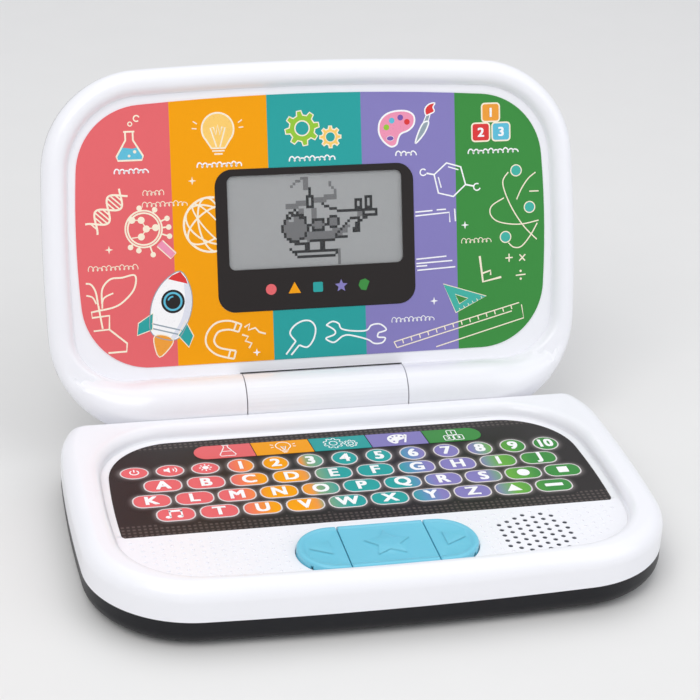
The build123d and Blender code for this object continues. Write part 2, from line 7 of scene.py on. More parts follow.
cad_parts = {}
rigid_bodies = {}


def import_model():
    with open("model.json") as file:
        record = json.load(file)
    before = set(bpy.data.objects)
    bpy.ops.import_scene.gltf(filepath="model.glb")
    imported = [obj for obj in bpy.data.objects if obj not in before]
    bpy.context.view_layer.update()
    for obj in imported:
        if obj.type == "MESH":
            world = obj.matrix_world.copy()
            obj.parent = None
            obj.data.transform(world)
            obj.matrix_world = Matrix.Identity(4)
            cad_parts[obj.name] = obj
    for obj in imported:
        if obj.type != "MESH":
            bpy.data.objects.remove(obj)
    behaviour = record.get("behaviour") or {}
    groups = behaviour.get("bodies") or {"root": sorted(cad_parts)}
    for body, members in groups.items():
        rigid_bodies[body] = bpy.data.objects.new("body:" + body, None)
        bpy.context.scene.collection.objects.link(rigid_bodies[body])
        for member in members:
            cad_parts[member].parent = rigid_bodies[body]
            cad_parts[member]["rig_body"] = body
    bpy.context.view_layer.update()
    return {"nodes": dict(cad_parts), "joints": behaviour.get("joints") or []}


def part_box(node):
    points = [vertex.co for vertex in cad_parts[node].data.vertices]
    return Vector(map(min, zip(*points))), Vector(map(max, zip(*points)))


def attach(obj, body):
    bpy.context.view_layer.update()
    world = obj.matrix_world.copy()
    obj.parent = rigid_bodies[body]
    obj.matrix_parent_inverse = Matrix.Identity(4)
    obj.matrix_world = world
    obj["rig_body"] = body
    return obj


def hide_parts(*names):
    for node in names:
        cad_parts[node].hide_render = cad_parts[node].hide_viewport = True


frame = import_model()
scene = bpy.context.scene
mm = 0.001

# ---- places read from the frame
lidJoint = next(joint for joint in frame["joints"] if joint["name"] == "lid_hinge")
hinge = Vector(lidJoint["pos_m"])
lidTilt = math.pi - math.radians(max(lidJoint["range_deg"]))  # lid above the horizontal
lidMatrix = Matrix.Translation(hinge) @ Matrix.Rotation(lidTilt, 4, "X")
caseLow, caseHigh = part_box("top_housing")
halfCase = (caseHigh.x - caseLow.x) / 2
frontReach = hinge.y - caseLow.y
filmLow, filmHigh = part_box("keyboard_overlay")
deckHeight = filmHigh.z


def extent(points):
    # the low and high corners of the box round some points
    return [Vector(pick(point[k] for point in points) for k in range(3)) for pick in (min, max)]


def lidBox(node):
    # a lid node's box in the lid's own frame: x, away from the hinge, towards the user
    inverse = lidMatrix.inverted()
    return extent([inverse @ vertex.co for vertex in frame["nodes"][node].data.vertices])


lidFar = lidBox("lid_front")[1].y
backLow, backHigh = lidBox("lid_back")
labelLow, labelHigh = lidBox("screen_label")
lensLow, lensHigh = lidBox("screen_lens")
lensHalfX, lensHalfY = (lensHigh.x - lensLow.x) / 2, (lensHigh.y - lensLow.y) / 2
lensMiddle = (lensHigh.y + lensLow.y) / 2
lcdLow, lcdHigh = lidBox("lcd_panel")
rollRadius = -backLow.z
lidSeam = backHigh.z
labelFace = labelHigh.z


# ---- materials: every finish is procedural on Object coordinates
def newFinish(name):
    material = bpy.data.materials.new(name)
    material.use_nodes = True
    tree = material.node_tree
    shader = tree.nodes["Principled BSDF"]
    coords = tree.nodes.new("ShaderNodeTexCoord").outputs["Object"]
    return material, tree, shader, coords


def addNoise(tree, coords, scale, detail=3.0):
    noise = tree.nodes.new("ShaderNodeTexNoise")
    noise.inputs["Scale"].default_value = scale
    noise.inputs["Detail"].default_value = detail
    tree.links.new(coords, noise.inputs["Vector"])
    return noise.outputs["Fac"]


def addRange(tree, value, low, high, fromLow=0.0, fromHigh=1.0):
    span = tree.nodes.new("ShaderNodeMapRange")
    for key, number in (("From Min", fromLow), ("From Max", fromHigh), ("To Min", low), ("To Max", high)):
        span.inputs[key].default_value = number
    tree.links.new(value, span.inputs["Value"])
    return span.outputs["Result"]


def addMath(tree, operation, first, second=None, third=None):
    node = tree.nodes.new("ShaderNodeMath")
    node.operation = operation
    for k, value in enumerate((first, second, third)):
        if isinstance(value, (int, float)):
            node.inputs[k].default_value = value
        elif value is not None:
            tree.links.new(value, node.inputs[k])
    return node.outputs["Value"]


def addMix(tree, factor, first, second):
    mix = tree.nodes.new("ShaderNodeMix")
    mix.data_type = "RGBA"
    for key, value in ((0, factor), (6, first), (7, second)):
        if isinstance(value, (tuple, list)):
            mix.inputs[key].default_value = (*value[:3], 1)
        elif isinstance(value, (int, float)):
            mix.inputs[key].default_value = value
        else:
            tree.links.new(value, mix.inputs[key])
    return mix.outputs[2]


def addBump(tree, shader, height, strength, distance):
    bump = tree.nodes.new("ShaderNodeBump")
    bump.inputs["Strength"].default_value = strength
    bump.inputs["Distance"].default_value = distance
    tree.links.new(height, bump.inputs["Height"])
    tree.links.new(bump.outputs["Normal"], shader.inputs["Normal"])


def dress(tree, shader, colour, roughness, shine):
    tree.links.new(colour, shader.inputs["Base Color"])
    tree.links.new(roughness, shader.inputs["Roughness"])
    shader.inputs["Specular IOR Level"].default_value = shine


def moulded(
    name, colour, roughness=0.4, coat=0.0, metallic=0.0, grain=2500.0, depth=0.02 * mm, shift=0.06,
    shine=0.5
):
    # moulded plastic, rubber or plated metal: fine grain, slow drift of colour and gloss
    material, tree, shader, coords = newFinish(name)
    drift = addNoise(tree, coords, 28.0)
    fine = addNoise(tree, coords, grain, 2.0)
    dark = tuple(part * (1 - shift) for part in colour)
    gloss = addRange(tree, drift, roughness * 0.85, roughness * 1.15)
    dress(tree, shader, addMix(tree, drift, dark, colour), gloss, shine)
    shader.inputs["Metallic"].default_value = metallic
    shader.inputs["Coat Weight"].default_value = coat
    shader.inputs["Coat Roughness"].default_value = 0.12
    addBump(tree, shader, fine, 0.35, depth)
    return material


def srgb(red, green, blue):
    # display values from 0 to 255 to the linear ones that shaders take
    parts = [part / 255 for part in (red, green, blue)]
    return tuple(part / 12.92 if part <= 0.04045 else ((part + 0.055) / 1.055) ** 2.4 for part in parts)


stripeColours = {
    "coral": srgb(232, 106, 110),
    "amber": srgb(247, 163, 10),
    "teal": srgb(46, 163, 160),
    "lavender": srgb(137, 129, 190),
    "green": srgb(64, 143, 68),
}
inkColours = {
    "cream": srgb(250, 238, 214),
    "white": srgb(250, 250, 250),
    "sky": srgb(96, 190, 216),
    "lime": srgb(150, 200, 60),
    "pink": srgb(240, 150, 180),
    "red": srgb(222, 60, 60),
    "orange": srgb(240, 160, 60),
    "mint": srgb(70, 180, 165),
    "grey": srgb(150, 165, 175),
    "dark": srgb(40, 38, 38),
    "cloud": srgb(225, 228, 238),
    "honey": srgb(252, 206, 110),
}


def striped(name, stops, low, high, roughness, smooth):
    # colours in bands along X between two places
    material, tree, shader, coords = newFinish(name)
    split = tree.nodes.new("ShaderNodeSeparateXYZ")
    tree.links.new(coords, split.inputs[0])
    place = addRange(tree, split.outputs["X"], 0.0, 1.0, low, high)
    ramp = tree.nodes.new("ShaderNodeValToRGB")
    ramp.color_ramp.interpolation = "LINEAR" if smooth else "CONSTANT"
    for k, (position, colour) in enumerate(stops):
        points = ramp.color_ramp.elements
        point = points[k] if k < 2 else points.new(position)
        point.position = position
        point.color = (*colour, 1)
    tree.links.new(place, ramp.inputs["Fac"])
    grain = addNoise(tree, coords, 900.0)
    worn = addMix(tree, addRange(tree, grain, 0.0, 0.03), ramp.outputs["Color"], (0.05, 0.05, 0.05))
    dress(tree, shader, worn, addRange(tree, grain, roughness * 0.85, roughness * 1.15), 0.12)
    addBump(tree, shader, grain, 0.2, 0.01 * mm)
    return material


filmPrint = {
    "ground": (srgb(31, 27, 26), srgb(42, 37, 36)),
    "bead": srgb(86, 77, 74),
    "glow": srgb(112, 105, 104),
    "pitch": (2.3 * mm, 2.4 * mm),
    "frontBand": 10 * mm,
    "backBand": 6.5 * mm,
    "bandFade": 0.5 * mm,
}


def keyFilmFinish(name, frontEdge, backEdge):
    # warm black print with a beaded band along the film's front and back edges
    material, tree, shader, coords = newFinish(name)
    split = tree.nodes.new("ShaderNodeSeparateXYZ")
    tree.links.new(coords, split.inputs[0])
    waves = []
    for axis, pitch in zip("XY", filmPrint["pitch"]):
        turn = addMath(tree, "MULTIPLY", split.outputs[axis], 2 * math.pi / pitch)
        waves.append(addMath(tree, "SINE", turn))
    frontEnd, backStart = frontEdge + filmPrint["frontBand"], backEdge - filmPrint["backBand"]
    fade = filmPrint["bandFade"]
    weave = addRange(tree, addMath(tree, "MINIMUM", *waves), 0.0, 1.0, -0.55, 0.35)
    frontBand = addRange(tree, split.outputs["Y"], 1.0, 0.0, frontEnd - fade, frontEnd)
    backBand = addRange(tree, split.outputs["Y"], 0.0, 1.0, backStart, backStart + fade)
    band = addMath(tree, "MULTIPLY", weave, addMath(tree, "MAXIMUM", frontBand, backBand))
    cloud = addNoise(tree, coords, 60.0)
    colour = addMix(tree, band, addMix(tree, cloud, *filmPrint["ground"]), filmPrint["bead"])
    dress(tree, shader, colour, addRange(tree, cloud, 0.34, 0.46), 0.25)
    addBump(tree, shader, addNoise(tree, coords, 1800.0), 0.2, 0.01 * mm)
    return material


def haloFinish(name):
    # the printed glow round a key fades out along the piece's own attribute
    material, tree, shader, coords = newFinish(name)
    fade = tree.nodes.new("ShaderNodeAttribute")
    fade.attribute_name = "glow"
    glow = addMath(tree, "POWER", fade.outputs["Fac"], 2.6)
    cloud = addNoise(tree, coords, 60.0)
    colour = addMix(tree, glow, addMix(tree, cloud, *filmPrint["ground"]), filmPrint["glow"])
    dress(tree, shader, colour, addRange(tree, cloud, 0.34, 0.46), 0.25)
    return material


def chalkFinish(name, colour, under):
    # dry strokes: the ground shows through where the noise is high
    material, tree, shader, coords = newFinish(name)
    grain = addNoise(tree, coords, 1500.0, 4.0)
    gaps = addRange(tree, grain, 0.0, 0.55, 0.58, 0.7)
    dress(tree, shader, addMix(tree, gaps, colour, under), addRange(tree, grain, 0.45, 0.65), 0.2)
    return material


def lcdFinish(name, colour):
    # reflective display: faintly clouded grey
    material, tree, shader, coords = newFinish(name)
    grain = addNoise(tree, coords, 400.0)
    lighter = tuple(part * 1.1 for part in colour)
    dress(tree, shader, addMix(tree, grain, colour, lighter), addRange(tree, grain, 0.25, 0.38), 0.15)
    return material


stripeStops = list(stripeColours.values())
labelEdge = labelHigh.x
stripeWidth = 44.67 * mm
stripeNear = [0.0] + [((k - 1.5) * stripeWidth / labelEdge + 1) / 2 for k in range(4)]
finishes = {
    "whiteShell": moulded("whiteShell", srgb(246, 246, 250), 0.3, coat=0.3, grain=1800.0, shift=0.02),
    "blackShell": moulded("blackShell", srgb(20, 20, 25), 0.42, grain=3500.0, depth=0.06 * mm, shine=0.3),
    "buttonBlue": moulded("buttonBlue", srgb(112, 200, 224), 0.34, coat=0.2, shift=0.04),
    "membrane": moulded("membraneSheet", (0.55, 0.56, 0.53), 0.5),
    "board": moulded("circuitBoard", (0.02, 0.16, 0.06), 0.38, grain=900.0),
    "resin": moulded("chipResin", (0.012, 0.012, 0.013), 0.3),
    "silicone": moulded("softSilicone", (0.62, 0.63, 0.66), 0.6),
    "rubber": moulded("footRubber", (0.02, 0.02, 0.022), 0.75, grain=1500.0, depth=0.08 * mm),
    "steel": moulded("platedSteel", (0.5, 0.5, 0.52), 0.3, metallic=1.0, grain=4000.0),
    "springSteel": moulded("springSteel", (0.62, 0.6, 0.56), 0.25, metallic=1.0),
    "cone": moulded("speakerCone", (0.015, 0.015, 0.016), 0.7),
    # dark grey discs under the grille's holes: painted shade inside the holes
    "cloth": moulded("speakerCloth", srgb(72, 74, 82), 0.85, grain=6000.0, depth=0.1 * mm, shine=0.2),
    "cell": moulded("cellJacket", (0.05, 0.14, 0.06), 0.35, metallic=0.3),
    "cable": moulded("cableJacket", (0.1, 0.11, 0.12), 0.55),
    "nylon": moulded("natureNylon", (0.62, 0.6, 0.54), 0.5),
    "bezel": moulded("bezelInk", srgb(41, 36, 35), 0.35, shift=0.1, shine=0.25),
    "keyFilm": keyFilmFinish("keyFilm", filmLow.y, filmHigh.y),
    "keyHalo": haloFinish("keyHalo"),
    "keyRing": moulded("keyRing", srgb(228, 222, 222), 0.42),
    "lcd": lcdFinish("lcdGround", srgb(158, 159, 159)),
    "lcdDark": lcdFinish("lcdDark", srgb(10, 10, 12)),
    "lcdMid": lcdFinish("lcdMid", srgb(108, 108, 109)),
    "label": striped(
        "labelStripes", list(zip(stripeNear, stripeStops)), -labelEdge, labelEdge, 0.36, False,
    ),
}
for inkName, inkColour in inkColours.items():
    finishes[inkName] = chalkFinish(inkName + "Ink", inkColour, tuple(0.8 * part for part in inkColour))
print("finishes made", len(finishes))


# ---- mesh helpers
def linkPiece(name, mesh, finish, body, matrix=None, replaced=()):
    piece = bpy.data.objects.new(name, mesh)
    scene.collection.objects.link(piece)
    if matrix:
        mesh.transform(matrix)
    mesh.materials.clear()
    mesh.materials.append(finishes[finish])
    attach(piece, body)
    if replaced:
        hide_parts(*replaced)
    return piece


def meshFrom(name, build):
    shape = bmesh.new()
    build(shape)
    mesh = bpy.data.meshes.new(name)
    shape.to_mesh(mesh)
    shape.free()
    return mesh


def evaluated(piece):
    # the piece's mesh with its modifiers applied, and the modifiers gone
    graph = bpy.context.evaluated_depsgraph_get()
    mesh = bpy.data.meshes.new_from_object(piece.evaluated_get(graph))
    old = piece.data
    piece.modifiers.clear()
    bpy.data.objects.remove(piece)
    if isinstance(old, bpy.types.Mesh) and not old.users:
        bpy.data.meshes.remove(old)
    return mesh


def temporary(name, data):
    piece = bpy.data.objects.new(name, data)
    scene.collection.objects.link(piece)
    return piece


def smoothed(mesh, angle=35):
    mesh.shade_smooth()
    mesh.set_sharp_from_angle(angle=math.radians(angle))


def weighted(piece):
    # flat faces keep flat shading beside rounded edges
    normals = piece.modifiers.new("weighted", "WEIGHTED_NORMAL")
    normals.keep_sharp = True
    normals.weight = 100


def smoothCopy(node, name, finish, angle=32):
    # a CAD node with its triangles joined, so that its rounded edges shade smoothly
    source = frame["nodes"][node]
    shape = bmesh.new()
    shape.from_mesh(source.data)
    bmesh.ops.remove_doubles(shape, verts=shape.verts, dist=0.0000015)
    mesh = bpy.data.meshes.new(name)
    shape.to_mesh(mesh)
    shape.free()
    smoothed(mesh, angle)
    piece = linkPiece(name, mesh, finish, source["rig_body"], replaced=[node])
    weighted(piece)
    return piece


def bridge(shape, first, second):
    # four-sided faces between two rings of vertices
    for k in range(len(first)):
        n = (k + 1) % len(first)
        shape.faces.new((first[k], first[n], second[n], second[k]))


def addPrism(shape, outline, low, high):
    # a closed flat piece from a list of (x, y) points
    bottom = [shape.verts.new((x, y, low)) for x, y in outline]
    top = [shape.verts.new((x, y, high)) for x, y in outline]
    shape.faces.new(list(reversed(bottom)))
    shape.faces.new(top)
    bridge(shape, bottom, top)


def prismMesh(name, outline, low, high):
    return meshFrom(name, lambda shape: addPrism(shape, outline, low, high))


def strokeSides(points, width, closed):
    # left and right edges of a line drawn with a round pen
    left, right = [], []
    count = len(points)
    for k, (x, y) in enumerate(points):
        before = points[k - 1] if k or closed else points[k]
        after = points[(k + 1) % count] if k < count - 1 or closed else points[k]
        along = Vector((after[0] - before[0], after[1] - before[1]))
        along = along.normalized() if along.length > 1e-9 else Vector((1, 0))
        half = width / 2
        left.append((x - along.y * half, y + along.x * half))
        right.append((x + along.y * half, y - along.x * half))
    return left, right


def addStroke(shape, points, width, low, high, closed=False):
    left, right = strokeSides(points, width, closed)
    rails = [[shape.verts.new((x, y, z)) for x, y in side] for side in (left, right) for z in (low, high)]
    leftLow, leftHigh, rightLow, rightHigh = rails
    steps = range(len(points)) if closed else range(len(points) - 1)
    for k in steps:
        n = (k + 1) % len(points)
        shape.faces.new((leftHigh[k], rightHigh[k], rightHigh[n], leftHigh[n]))
        shape.faces.new((leftLow[n], rightLow[n], rightLow[k], leftLow[k]))
        shape.faces.new((leftLow[k], leftHigh[k], leftHigh[n], leftLow[n]))
        shape.faces.new((rightLow[n], rightHigh[n], rightHigh[k], rightLow[k]))
    if not closed:
        for k in (0, -1):
            ends = (leftLow[k], rightLow[k], rightHigh[k], leftHigh[k])
            shape.faces.new(ends if k == 0 else tuple(reversed(ends)))


def turned(points, degrees):
    c, s = math.cos(math.radians(degrees)), math.sin(math.radians(degrees))
    return [(x * c - y * s, x * s + y * c) for x, y in points]


def circlePoints(x, y, radius, count=20, start=0.0, sweep=360.0, squash=1.0, turn=0.0):
    # a circle, an arc or a turned oval
    steps = count if abs(sweep) >= 360 else count - 1
    angles = [math.radians(start + sweep * k / steps) for k in range(count)]
    points = [(radius * math.cos(angle), radius * squash * math.sin(angle)) for angle in angles]
    return [(x + dx, y + dy) for dx, dy in turned(points, turn)]


def softPath(points, closed=False, steps=6):
    # a smooth line through a few chosen points
    path, count = [], len(points)
    spans = count if closed else count - 1
    for k in range(spans):
        near = [(k + j) % count if closed else min(max(k + j, 0), count - 1) for j in (-1, 0, 1, 2)]
        p = [Vector(points[number]) for number in near]
        for step in range(steps):
            t = step / steps
            point = 0.5 * (
                2 * p[1] + (p[2] - p[0]) * t + (2 * p[0] - 5 * p[1] + 4 * p[2] - p[3]) * t ** 2
                + (3 * p[1] - p[0] - 3 * p[2] + p[3]) * t ** 3
            )
            path.append((point.x, point.y))
    if not closed:
        path.append(tuple(points[-1]))
    return path


def roundedBox(halfX, halfY, radius, steps=5, x=0.0, y=0.0):
    points = []
    for cx, cy, start in ((1, 1, 0), (-1, 1, 90), (-1, -1, 180), (1, -1, 270)):
        for k in range(steps + 1):
            angle = math.radians(start + 90 * k / steps)
            points.append((
                x + cx * (halfX - radius) + radius * math.cos(angle),
                y + cy * (halfY - radius) + radius * math.sin(angle),
            ))
    return points


def starPoints(x, y, outer, inner, count=5, start=90.0):
    turns = [
        (outer if k % 2 == 0 else inner, math.radians(start + 180 * k / count)) for k in range(2 * count)
    ]
    return [(x + r * math.cos(a), y + r * math.sin(a)) for r, a in turns]


# ---- bowed outline shared by both case halves
def circleMeet(first, firstRadius, second, secondRadius):
    # where two circles cross, on the side away from the hinge and outwards
    apart = second - first
    along = (firstRadius ** 2 - secondRadius ** 2 + apart.length ** 2) / (2 * apart.length)
    across = math.sqrt(firstRadius ** 2 - along ** 2)
    unit = apart.normalized()
    options = [first + unit * along + Vector((-unit.y, unit.x)) * across * side for side in (-1, 1)]
    return max(options, key=lambda point: point.x + point.y)


def bowedOutline(halfWidth, near, far, sideBow, farBow, radius, steps):
    # points with outward normals, and how much of the hinge-side roll each one carries
    edge = far - farBow
    middle = (near + edge) / 2
    span = halfWidth - sideBow
    sideRadius = ((edge - near) ** 2 / 4 + sideBow ** 2) / (2 * sideBow)
    farRadius = (span ** 2 + farBow ** 2) / (2 * farBow)
    sideCentre = Vector((halfWidth - sideRadius, middle))
    farCentre = Vector((0, far - farRadius))
    rise = near + radius - middle
    lower = Vector((sideCentre.x + math.sqrt((sideRadius - radius) ** 2 - rise ** 2), near + radius))
    upper = circleMeet(sideCentre, sideRadius - radius, farCentre, farRadius - radius)
    lowAngle = math.atan2(*reversed(lower - sideCentre))
    highAngle = math.atan2(*reversed(upper - sideCentre))
    farAngle = math.atan2(*reversed(upper - farCentre))
    half = []
    for k in range(steps["near"]):
        half.append((Vector((lower.x * k / steps["near"], near)), Vector((0, -1)), 1.0))
    arcs = (
        (lower, radius, -math.pi / 2, lowAngle, "corner"),
        (sideCentre, sideRadius, lowAngle, highAngle, "side"),
        (upper, radius, highAngle, farAngle, "corner"),
        (farCentre, farRadius, farAngle, math.pi / 2, "far"),
    )
    for number, (centre, size, start, end, kind) in enumerate(arcs):
        for k in range(steps[kind]):
            t = k / steps[kind]
            angle = start + (end - start) * t
            normal = Vector((math.cos(angle), math.sin(angle)))
            roll = 1 - t * t * (3 - 2 * t) if number == 0 else 0.0
            half.append((centre + normal * size, normal, roll))
    half.append((Vector((0, far)), Vector((0, 1)), 0.0))
    mirrored = [(Vector((-p.x, p.y)), Vector((-n.x, n.y)), roll) for p, n, roll in reversed(half[1:-1])]
    return half + mirrored


def loftShell(shape, loops, ring=False):
    # a skin over closed loops; a ring's last loop joins its first, another shell is capped
    rings = [[shape.verts.new(point) for point in loop] for loop in loops]
    for first, second in zip(rings, rings[1:]):
        bridge(shape, first, second)
    if ring:
        bridge(shape, rings[-1], rings[0])
    else:
        shape.faces.new(list(reversed(rings[0])))
        shape.faces.new(rings[-1])


def blendValue(first, second, share):
    return first + (second - first) * share


# ---- lid: rounded frame whose lower edge swells into the hinge roll
lidShape = {
    "sideBow": 4.0 * mm,
    "farBow": 5.0 * mm,
    "corner": 46.0 * mm,
    "rim": 11.9 * mm,
    "rollInset": 27.4 * mm,
    "profile": 18,
    "softness": 6.0 * mm,
    "backRound": 4.5 * mm,
    "notchHalf": 38.0 * mm,
    "notchTop": 12.95 * mm,
    "notchFoot": 5.0 * mm,
    # radii of the black strip in the gap over the barrel, painted shade for the shadow there
    "lining": (-0.25 * mm, 0.1 * mm),
    "lensCorner": 8.1 * mm,
    "fit": 0.1 * mm,
    "crease": 38,
    "screwRecess": 3.1 * mm,
    "screwDepth": 1.4 * mm,
}
outlineSteps = {"near": 8, "corner": 18, "side": 14, "far": 20}
lidOutline = bowedOutline(
    halfCase, -rollRadius, lidFar, lidShape["sideBow"], lidShape["farBow"], lidShape["corner"], outlineSteps
)


def insetLoop(insets, heights):
    # the lid's outline drawn in and lifted by a value for every point
    return [(p.x - n.x * d, p.y - n.y * d, z) for (p, n, roll), d, z in zip(lidOutline, insets, heights)]


def lidFrontLoops():
    rim, rollInset = lidShape["rim"], lidShape["rollInset"]
    floor = labelLow.z
    loops = []
    for step in range(lidShape["profile"] + 1):
        t = step / lidShape["profile"]
        insets, heights = [], []
        for point, normal, roll in lidOutline:
            radiusX = blendValue(rim / 2, rollRadius, roll)
            radiusZ = blendValue(-lidSeam, rollRadius, roll)
            centreZ = blendValue(lidSeam, 0.0, roll)
            start = math.pi - math.asin((lidSeam - centreZ) / radiusZ)
            end = math.asin((floor - centreZ) / radiusZ)
            angle = blendValue(start, end, t)
            insets.append(radiusX + radiusX * math.cos(angle))
            height = centreZ + radiusZ * math.sin(angle)
            # ahead of the roll the frame stays low enough to shut on the case's rim
            place = point.y - normal.y * insets[-1]
            room = math.sqrt(max((rollRadius + lidShape["fit"]) ** 2 - place ** 2, 0))
            softness = lidShape["softness"] * roll * (1 - roll)
            heights.append((height + room - math.hypot(height - room, softness)) / 2)
        loops.append(insetLoop(insets, heights))
    floorInset = [blendValue(rim + 1.2 * mm, rollInset, roll) for point, normal, roll in lidOutline]
    loops.append(insetLoop(floorInset, [floor] * len(lidOutline)))
    return loops


def lidBackLoops():
    edge, steps = lidShape["backRound"], 8
    loops = []
    for step in range(steps + 1):
        t = step / steps
        insets, heights = [], []
        for point, normal, roll in lidOutline:
            radius = blendValue(edge, rollRadius, roll)
            centreZ = blendValue(-rollRadius + edge, 0.0, roll)
            start = math.pi + math.asin(min(1.0, max(0.0, (centreZ - lidSeam) / radius)))
            angle = blendValue(start, 1.5 * math.pi, t)
            insets.append(radius + radius * math.cos(angle))
            heights.append(lidSeam if step == 0 else centreZ + radius * math.sin(angle))
        loops.append(insetLoop(insets, heights))
    return loops


def cutBy(mesh, *cutters):
    # a closed mesh less other closed meshes
    piece = temporary("cutting", mesh)
    tools = [temporary("cutter", cutter) for cutter in cutters]
    for tool in tools:
        cut = piece.modifiers.new("cut", "BOOLEAN")
        cut.operation, cut.solver, cut.object = "DIFFERENCE", "EXACT", tool
    result = evaluated(piece)
    for tool in tools:
        bpy.data.objects.remove(tool)
    return result


def boxMesh(low, high):
    outline = [(low[0], low[1]), (high[0], low[1]), (high[0], high[1]), (low[0], high[1])]
    return prismMesh("box", outline, low[2], high[2])


def drumMesh(x, y, radius, low, high, count=32):
    return prismMesh("drum", circlePoints(x, y, radius, count), low, high)


def notchCutters(back):
    # the notch for the barrel; the front shell's follows the barrel round behind it
    half, top, reach = lidShape["notchHalf"], lidShape["notchTop"], 2 * rollRadius
    if back:
        return [boxMesh((-half, -reach, -reach), (half, top, reach))]
    drum = drumMesh(0, 0, top, -half, half, 96)
    drum.transform(Matrix.Rotation(math.pi / 2, 4, "Y"))
    return [
        drum,
        boxMesh((-half, -reach, 0), (half, top - 0.02 * mm, reach)),
        boxMesh((-half, -reach, -reach), (half, lidShape["notchFoot"], reach)),
    ]


def makeLidFront():
    mesh = meshFrom("lidFront", lambda shape: loftShell(shape, lidFrontLoops()))
    fit = lidShape["fit"]
    seat = roundedBox(lensHalfX + fit, lensHalfY + fit, lidShape["lensCorner"], 8, 0, lensMiddle)
    pocket = prismMesh("pocket", seat, lensLow.z, labelFace)
    opening = boxMesh(
        (lcdLow.x - fit, lcdLow.y - fit, backLow.z), (lcdHigh.x + fit, lcdHigh.y + fit, labelFace),
    )
    mesh = cutBy(mesh, *notchCutters(False), pocket, opening)
    smoothed(mesh, lidShape["crease"])
    piece = linkPiece("lidFront", mesh, "whiteShell", "lid", lidMatrix, ["lid_front"])
    weighted(piece)


def makeLidBack():
    mesh = meshFrom("lidBack", lambda shape: loftShell(shape, lidBackLoops()))
    turnOutwards(mesh)
    cutters = notchCutters(True)
    for x, y in lidScrewPlaces():
        cutters.append(
            drumMesh(x, y, lidShape["screwRecess"], backLow.z - 1 * mm, backLow.z + lidShape["screwDepth"])
        )
    mesh = cutBy(mesh, *cutters)
    smoothed(mesh, lidShape["crease"])
    piece = linkPiece("lidBack", mesh, "blackShell", "lid", lidMatrix, ["lid_back"])
    weighted(piece)


def makeNotchLining():
    # a black strip in the gap over the barrel, partly the back shell's dark ledge and partly painted shade
    # for the shadow in that gap; it shows as a dark line
    inner, outer = (lidShape["notchTop"] + step for step in lidShape["lining"])
    outline = circlePoints(0, 0, outer, 17, 74, 16) + circlePoints(0, 0, inner, 17, 90, -16)
    half = lidShape["notchHalf"] - lidShape["fit"]
    mesh = prismMesh("notchLining", outline, -half, half)
    mesh.transform(Matrix.Rotation(math.pi / 2, 4, "Y"))
    turnOutwards(mesh)
    linkPiece("notchLining", mesh, "blackShell", "lid", lidMatrix)


def turnOutwards(mesh):
    shape = bmesh.new()
    shape.from_mesh(mesh)
    bmesh.ops.recalc_face_normals(shape, faces=shape.faces)
    shape.to_mesh(mesh)
    shape.free()


def islandCentres(node):
    # the middle of each loose solid in a lid node, in the lid's own frame
    inverse = lidMatrix.inverted()
    shape = bmesh.new()
    shape.from_mesh(frame["nodes"][node].data)
    bmesh.ops.remove_doubles(shape, verts=shape.verts, dist=0.0000015)
    seen, centres = set(), []
    for vertex in shape.verts:
        if vertex in seen:
            continue
        group, queue = [], [vertex]
        seen.add(vertex)
        while queue:
            current = queue.pop()
            group.append(inverse @ current.co)
            for edge in current.link_edges:
                other = edge.other_vert(current)
                if other not in seen:
                    seen.add(other)
                    queue.append(other)
        low, high = extent(group)
        centres.append((low + high) / 2)
    shape.free()
    return centres


def lidScrewPlaces():
    return [(centre.x, centre.y) for centre in islandCentres("lid_screws")]


makeLidFront()
makeLidBack()
makeNotchLining()
print("lid shells made")


# ---- base shells and buttons keep their CAD shape
smoothCopy("top_housing", "topHousing", "whiteShell")
smoothCopy("bottom_housing", "bottomHousing", "blackShell")
smoothCopy("battery_door", "batteryDoor", "blackShell")
for side in ("left", "star", "right"):
    smoothCopy(side + "_button", side + "Button", "buttonBlue")
smoothCopy("rubber_feet", "rubberFeet", "rubber")
for node, label, slot in (
    ("case_screws", "caseScrews", "steel"),
    ("door_screw", "doorScrew", "steel"),
    ("lid_screws", "lidScrews", "steel"),
    ("hinge_pins", "hingePins", "steel"),
):
    smoothCopy(node, label, "steel")
innerFinishes = {
    "keyboard_membrane": "membrane", "membrane_tail": "membrane", "main_board": "board",
    "button_board": "board", "lcd_board": "board", "main_chips": "resin", "button_mat": "silicone",
    "speaker_basket": "steel", "speaker_cone": "cone", "speaker_magnet": "steel",
    "speaker_retainer": "blackShell", "retainer_screws": "steel", "aa_cells": "cell",
    "battery_contacts": "springSteel", "battery_springs": "springSteel", "display_cable_base": "cable",
    "display_cable_lid": "cable", "hinge_bushes": "nylon", "lcd_frame": "nylon",
    "keyboard_overlay": "keyFilm",
    "screen_label": "label", "lcd_panel": "lcd",
}
for node, finish in innerFinishes.items():
    slots = frame["nodes"][node].material_slots
    for materialSlot in slots:
        materialSlot.material = finishes[finish]
print("CAD pieces finished")


# ---- Geometry Nodes: one unit on every point of a mesh, and a plate with holes
def makeTree(name, sockets, kinds, wires):
    # sockets are the tree's inputs after its geometry; every wire runs from (node, socket) to (node,
    # socket)
    tree = bpy.data.node_groups.new(name, "GeometryNodeTree")
    for label, kind in (("Geometry", "Geometry"), *sockets):
        tree.interface.new_socket(label, in_out="INPUT", socket_type="NodeSocket" + kind)
    tree.interface.new_socket("Geometry", in_out="OUTPUT", socket_type="NodeSocketGeometry")
    nodes = {label: tree.nodes.new("GeometryNode" + kind) for label, kind in kinds.items()}
    nodes["entry"], nodes["leave"] = tree.nodes.new("NodeGroupInput"), tree.nodes.new("NodeGroupOutput")
    for (start, output), (end, entry) in wires:
        tree.links.new(nodes[start].outputs[output], nodes[end].inputs[entry])
    return tree, nodes


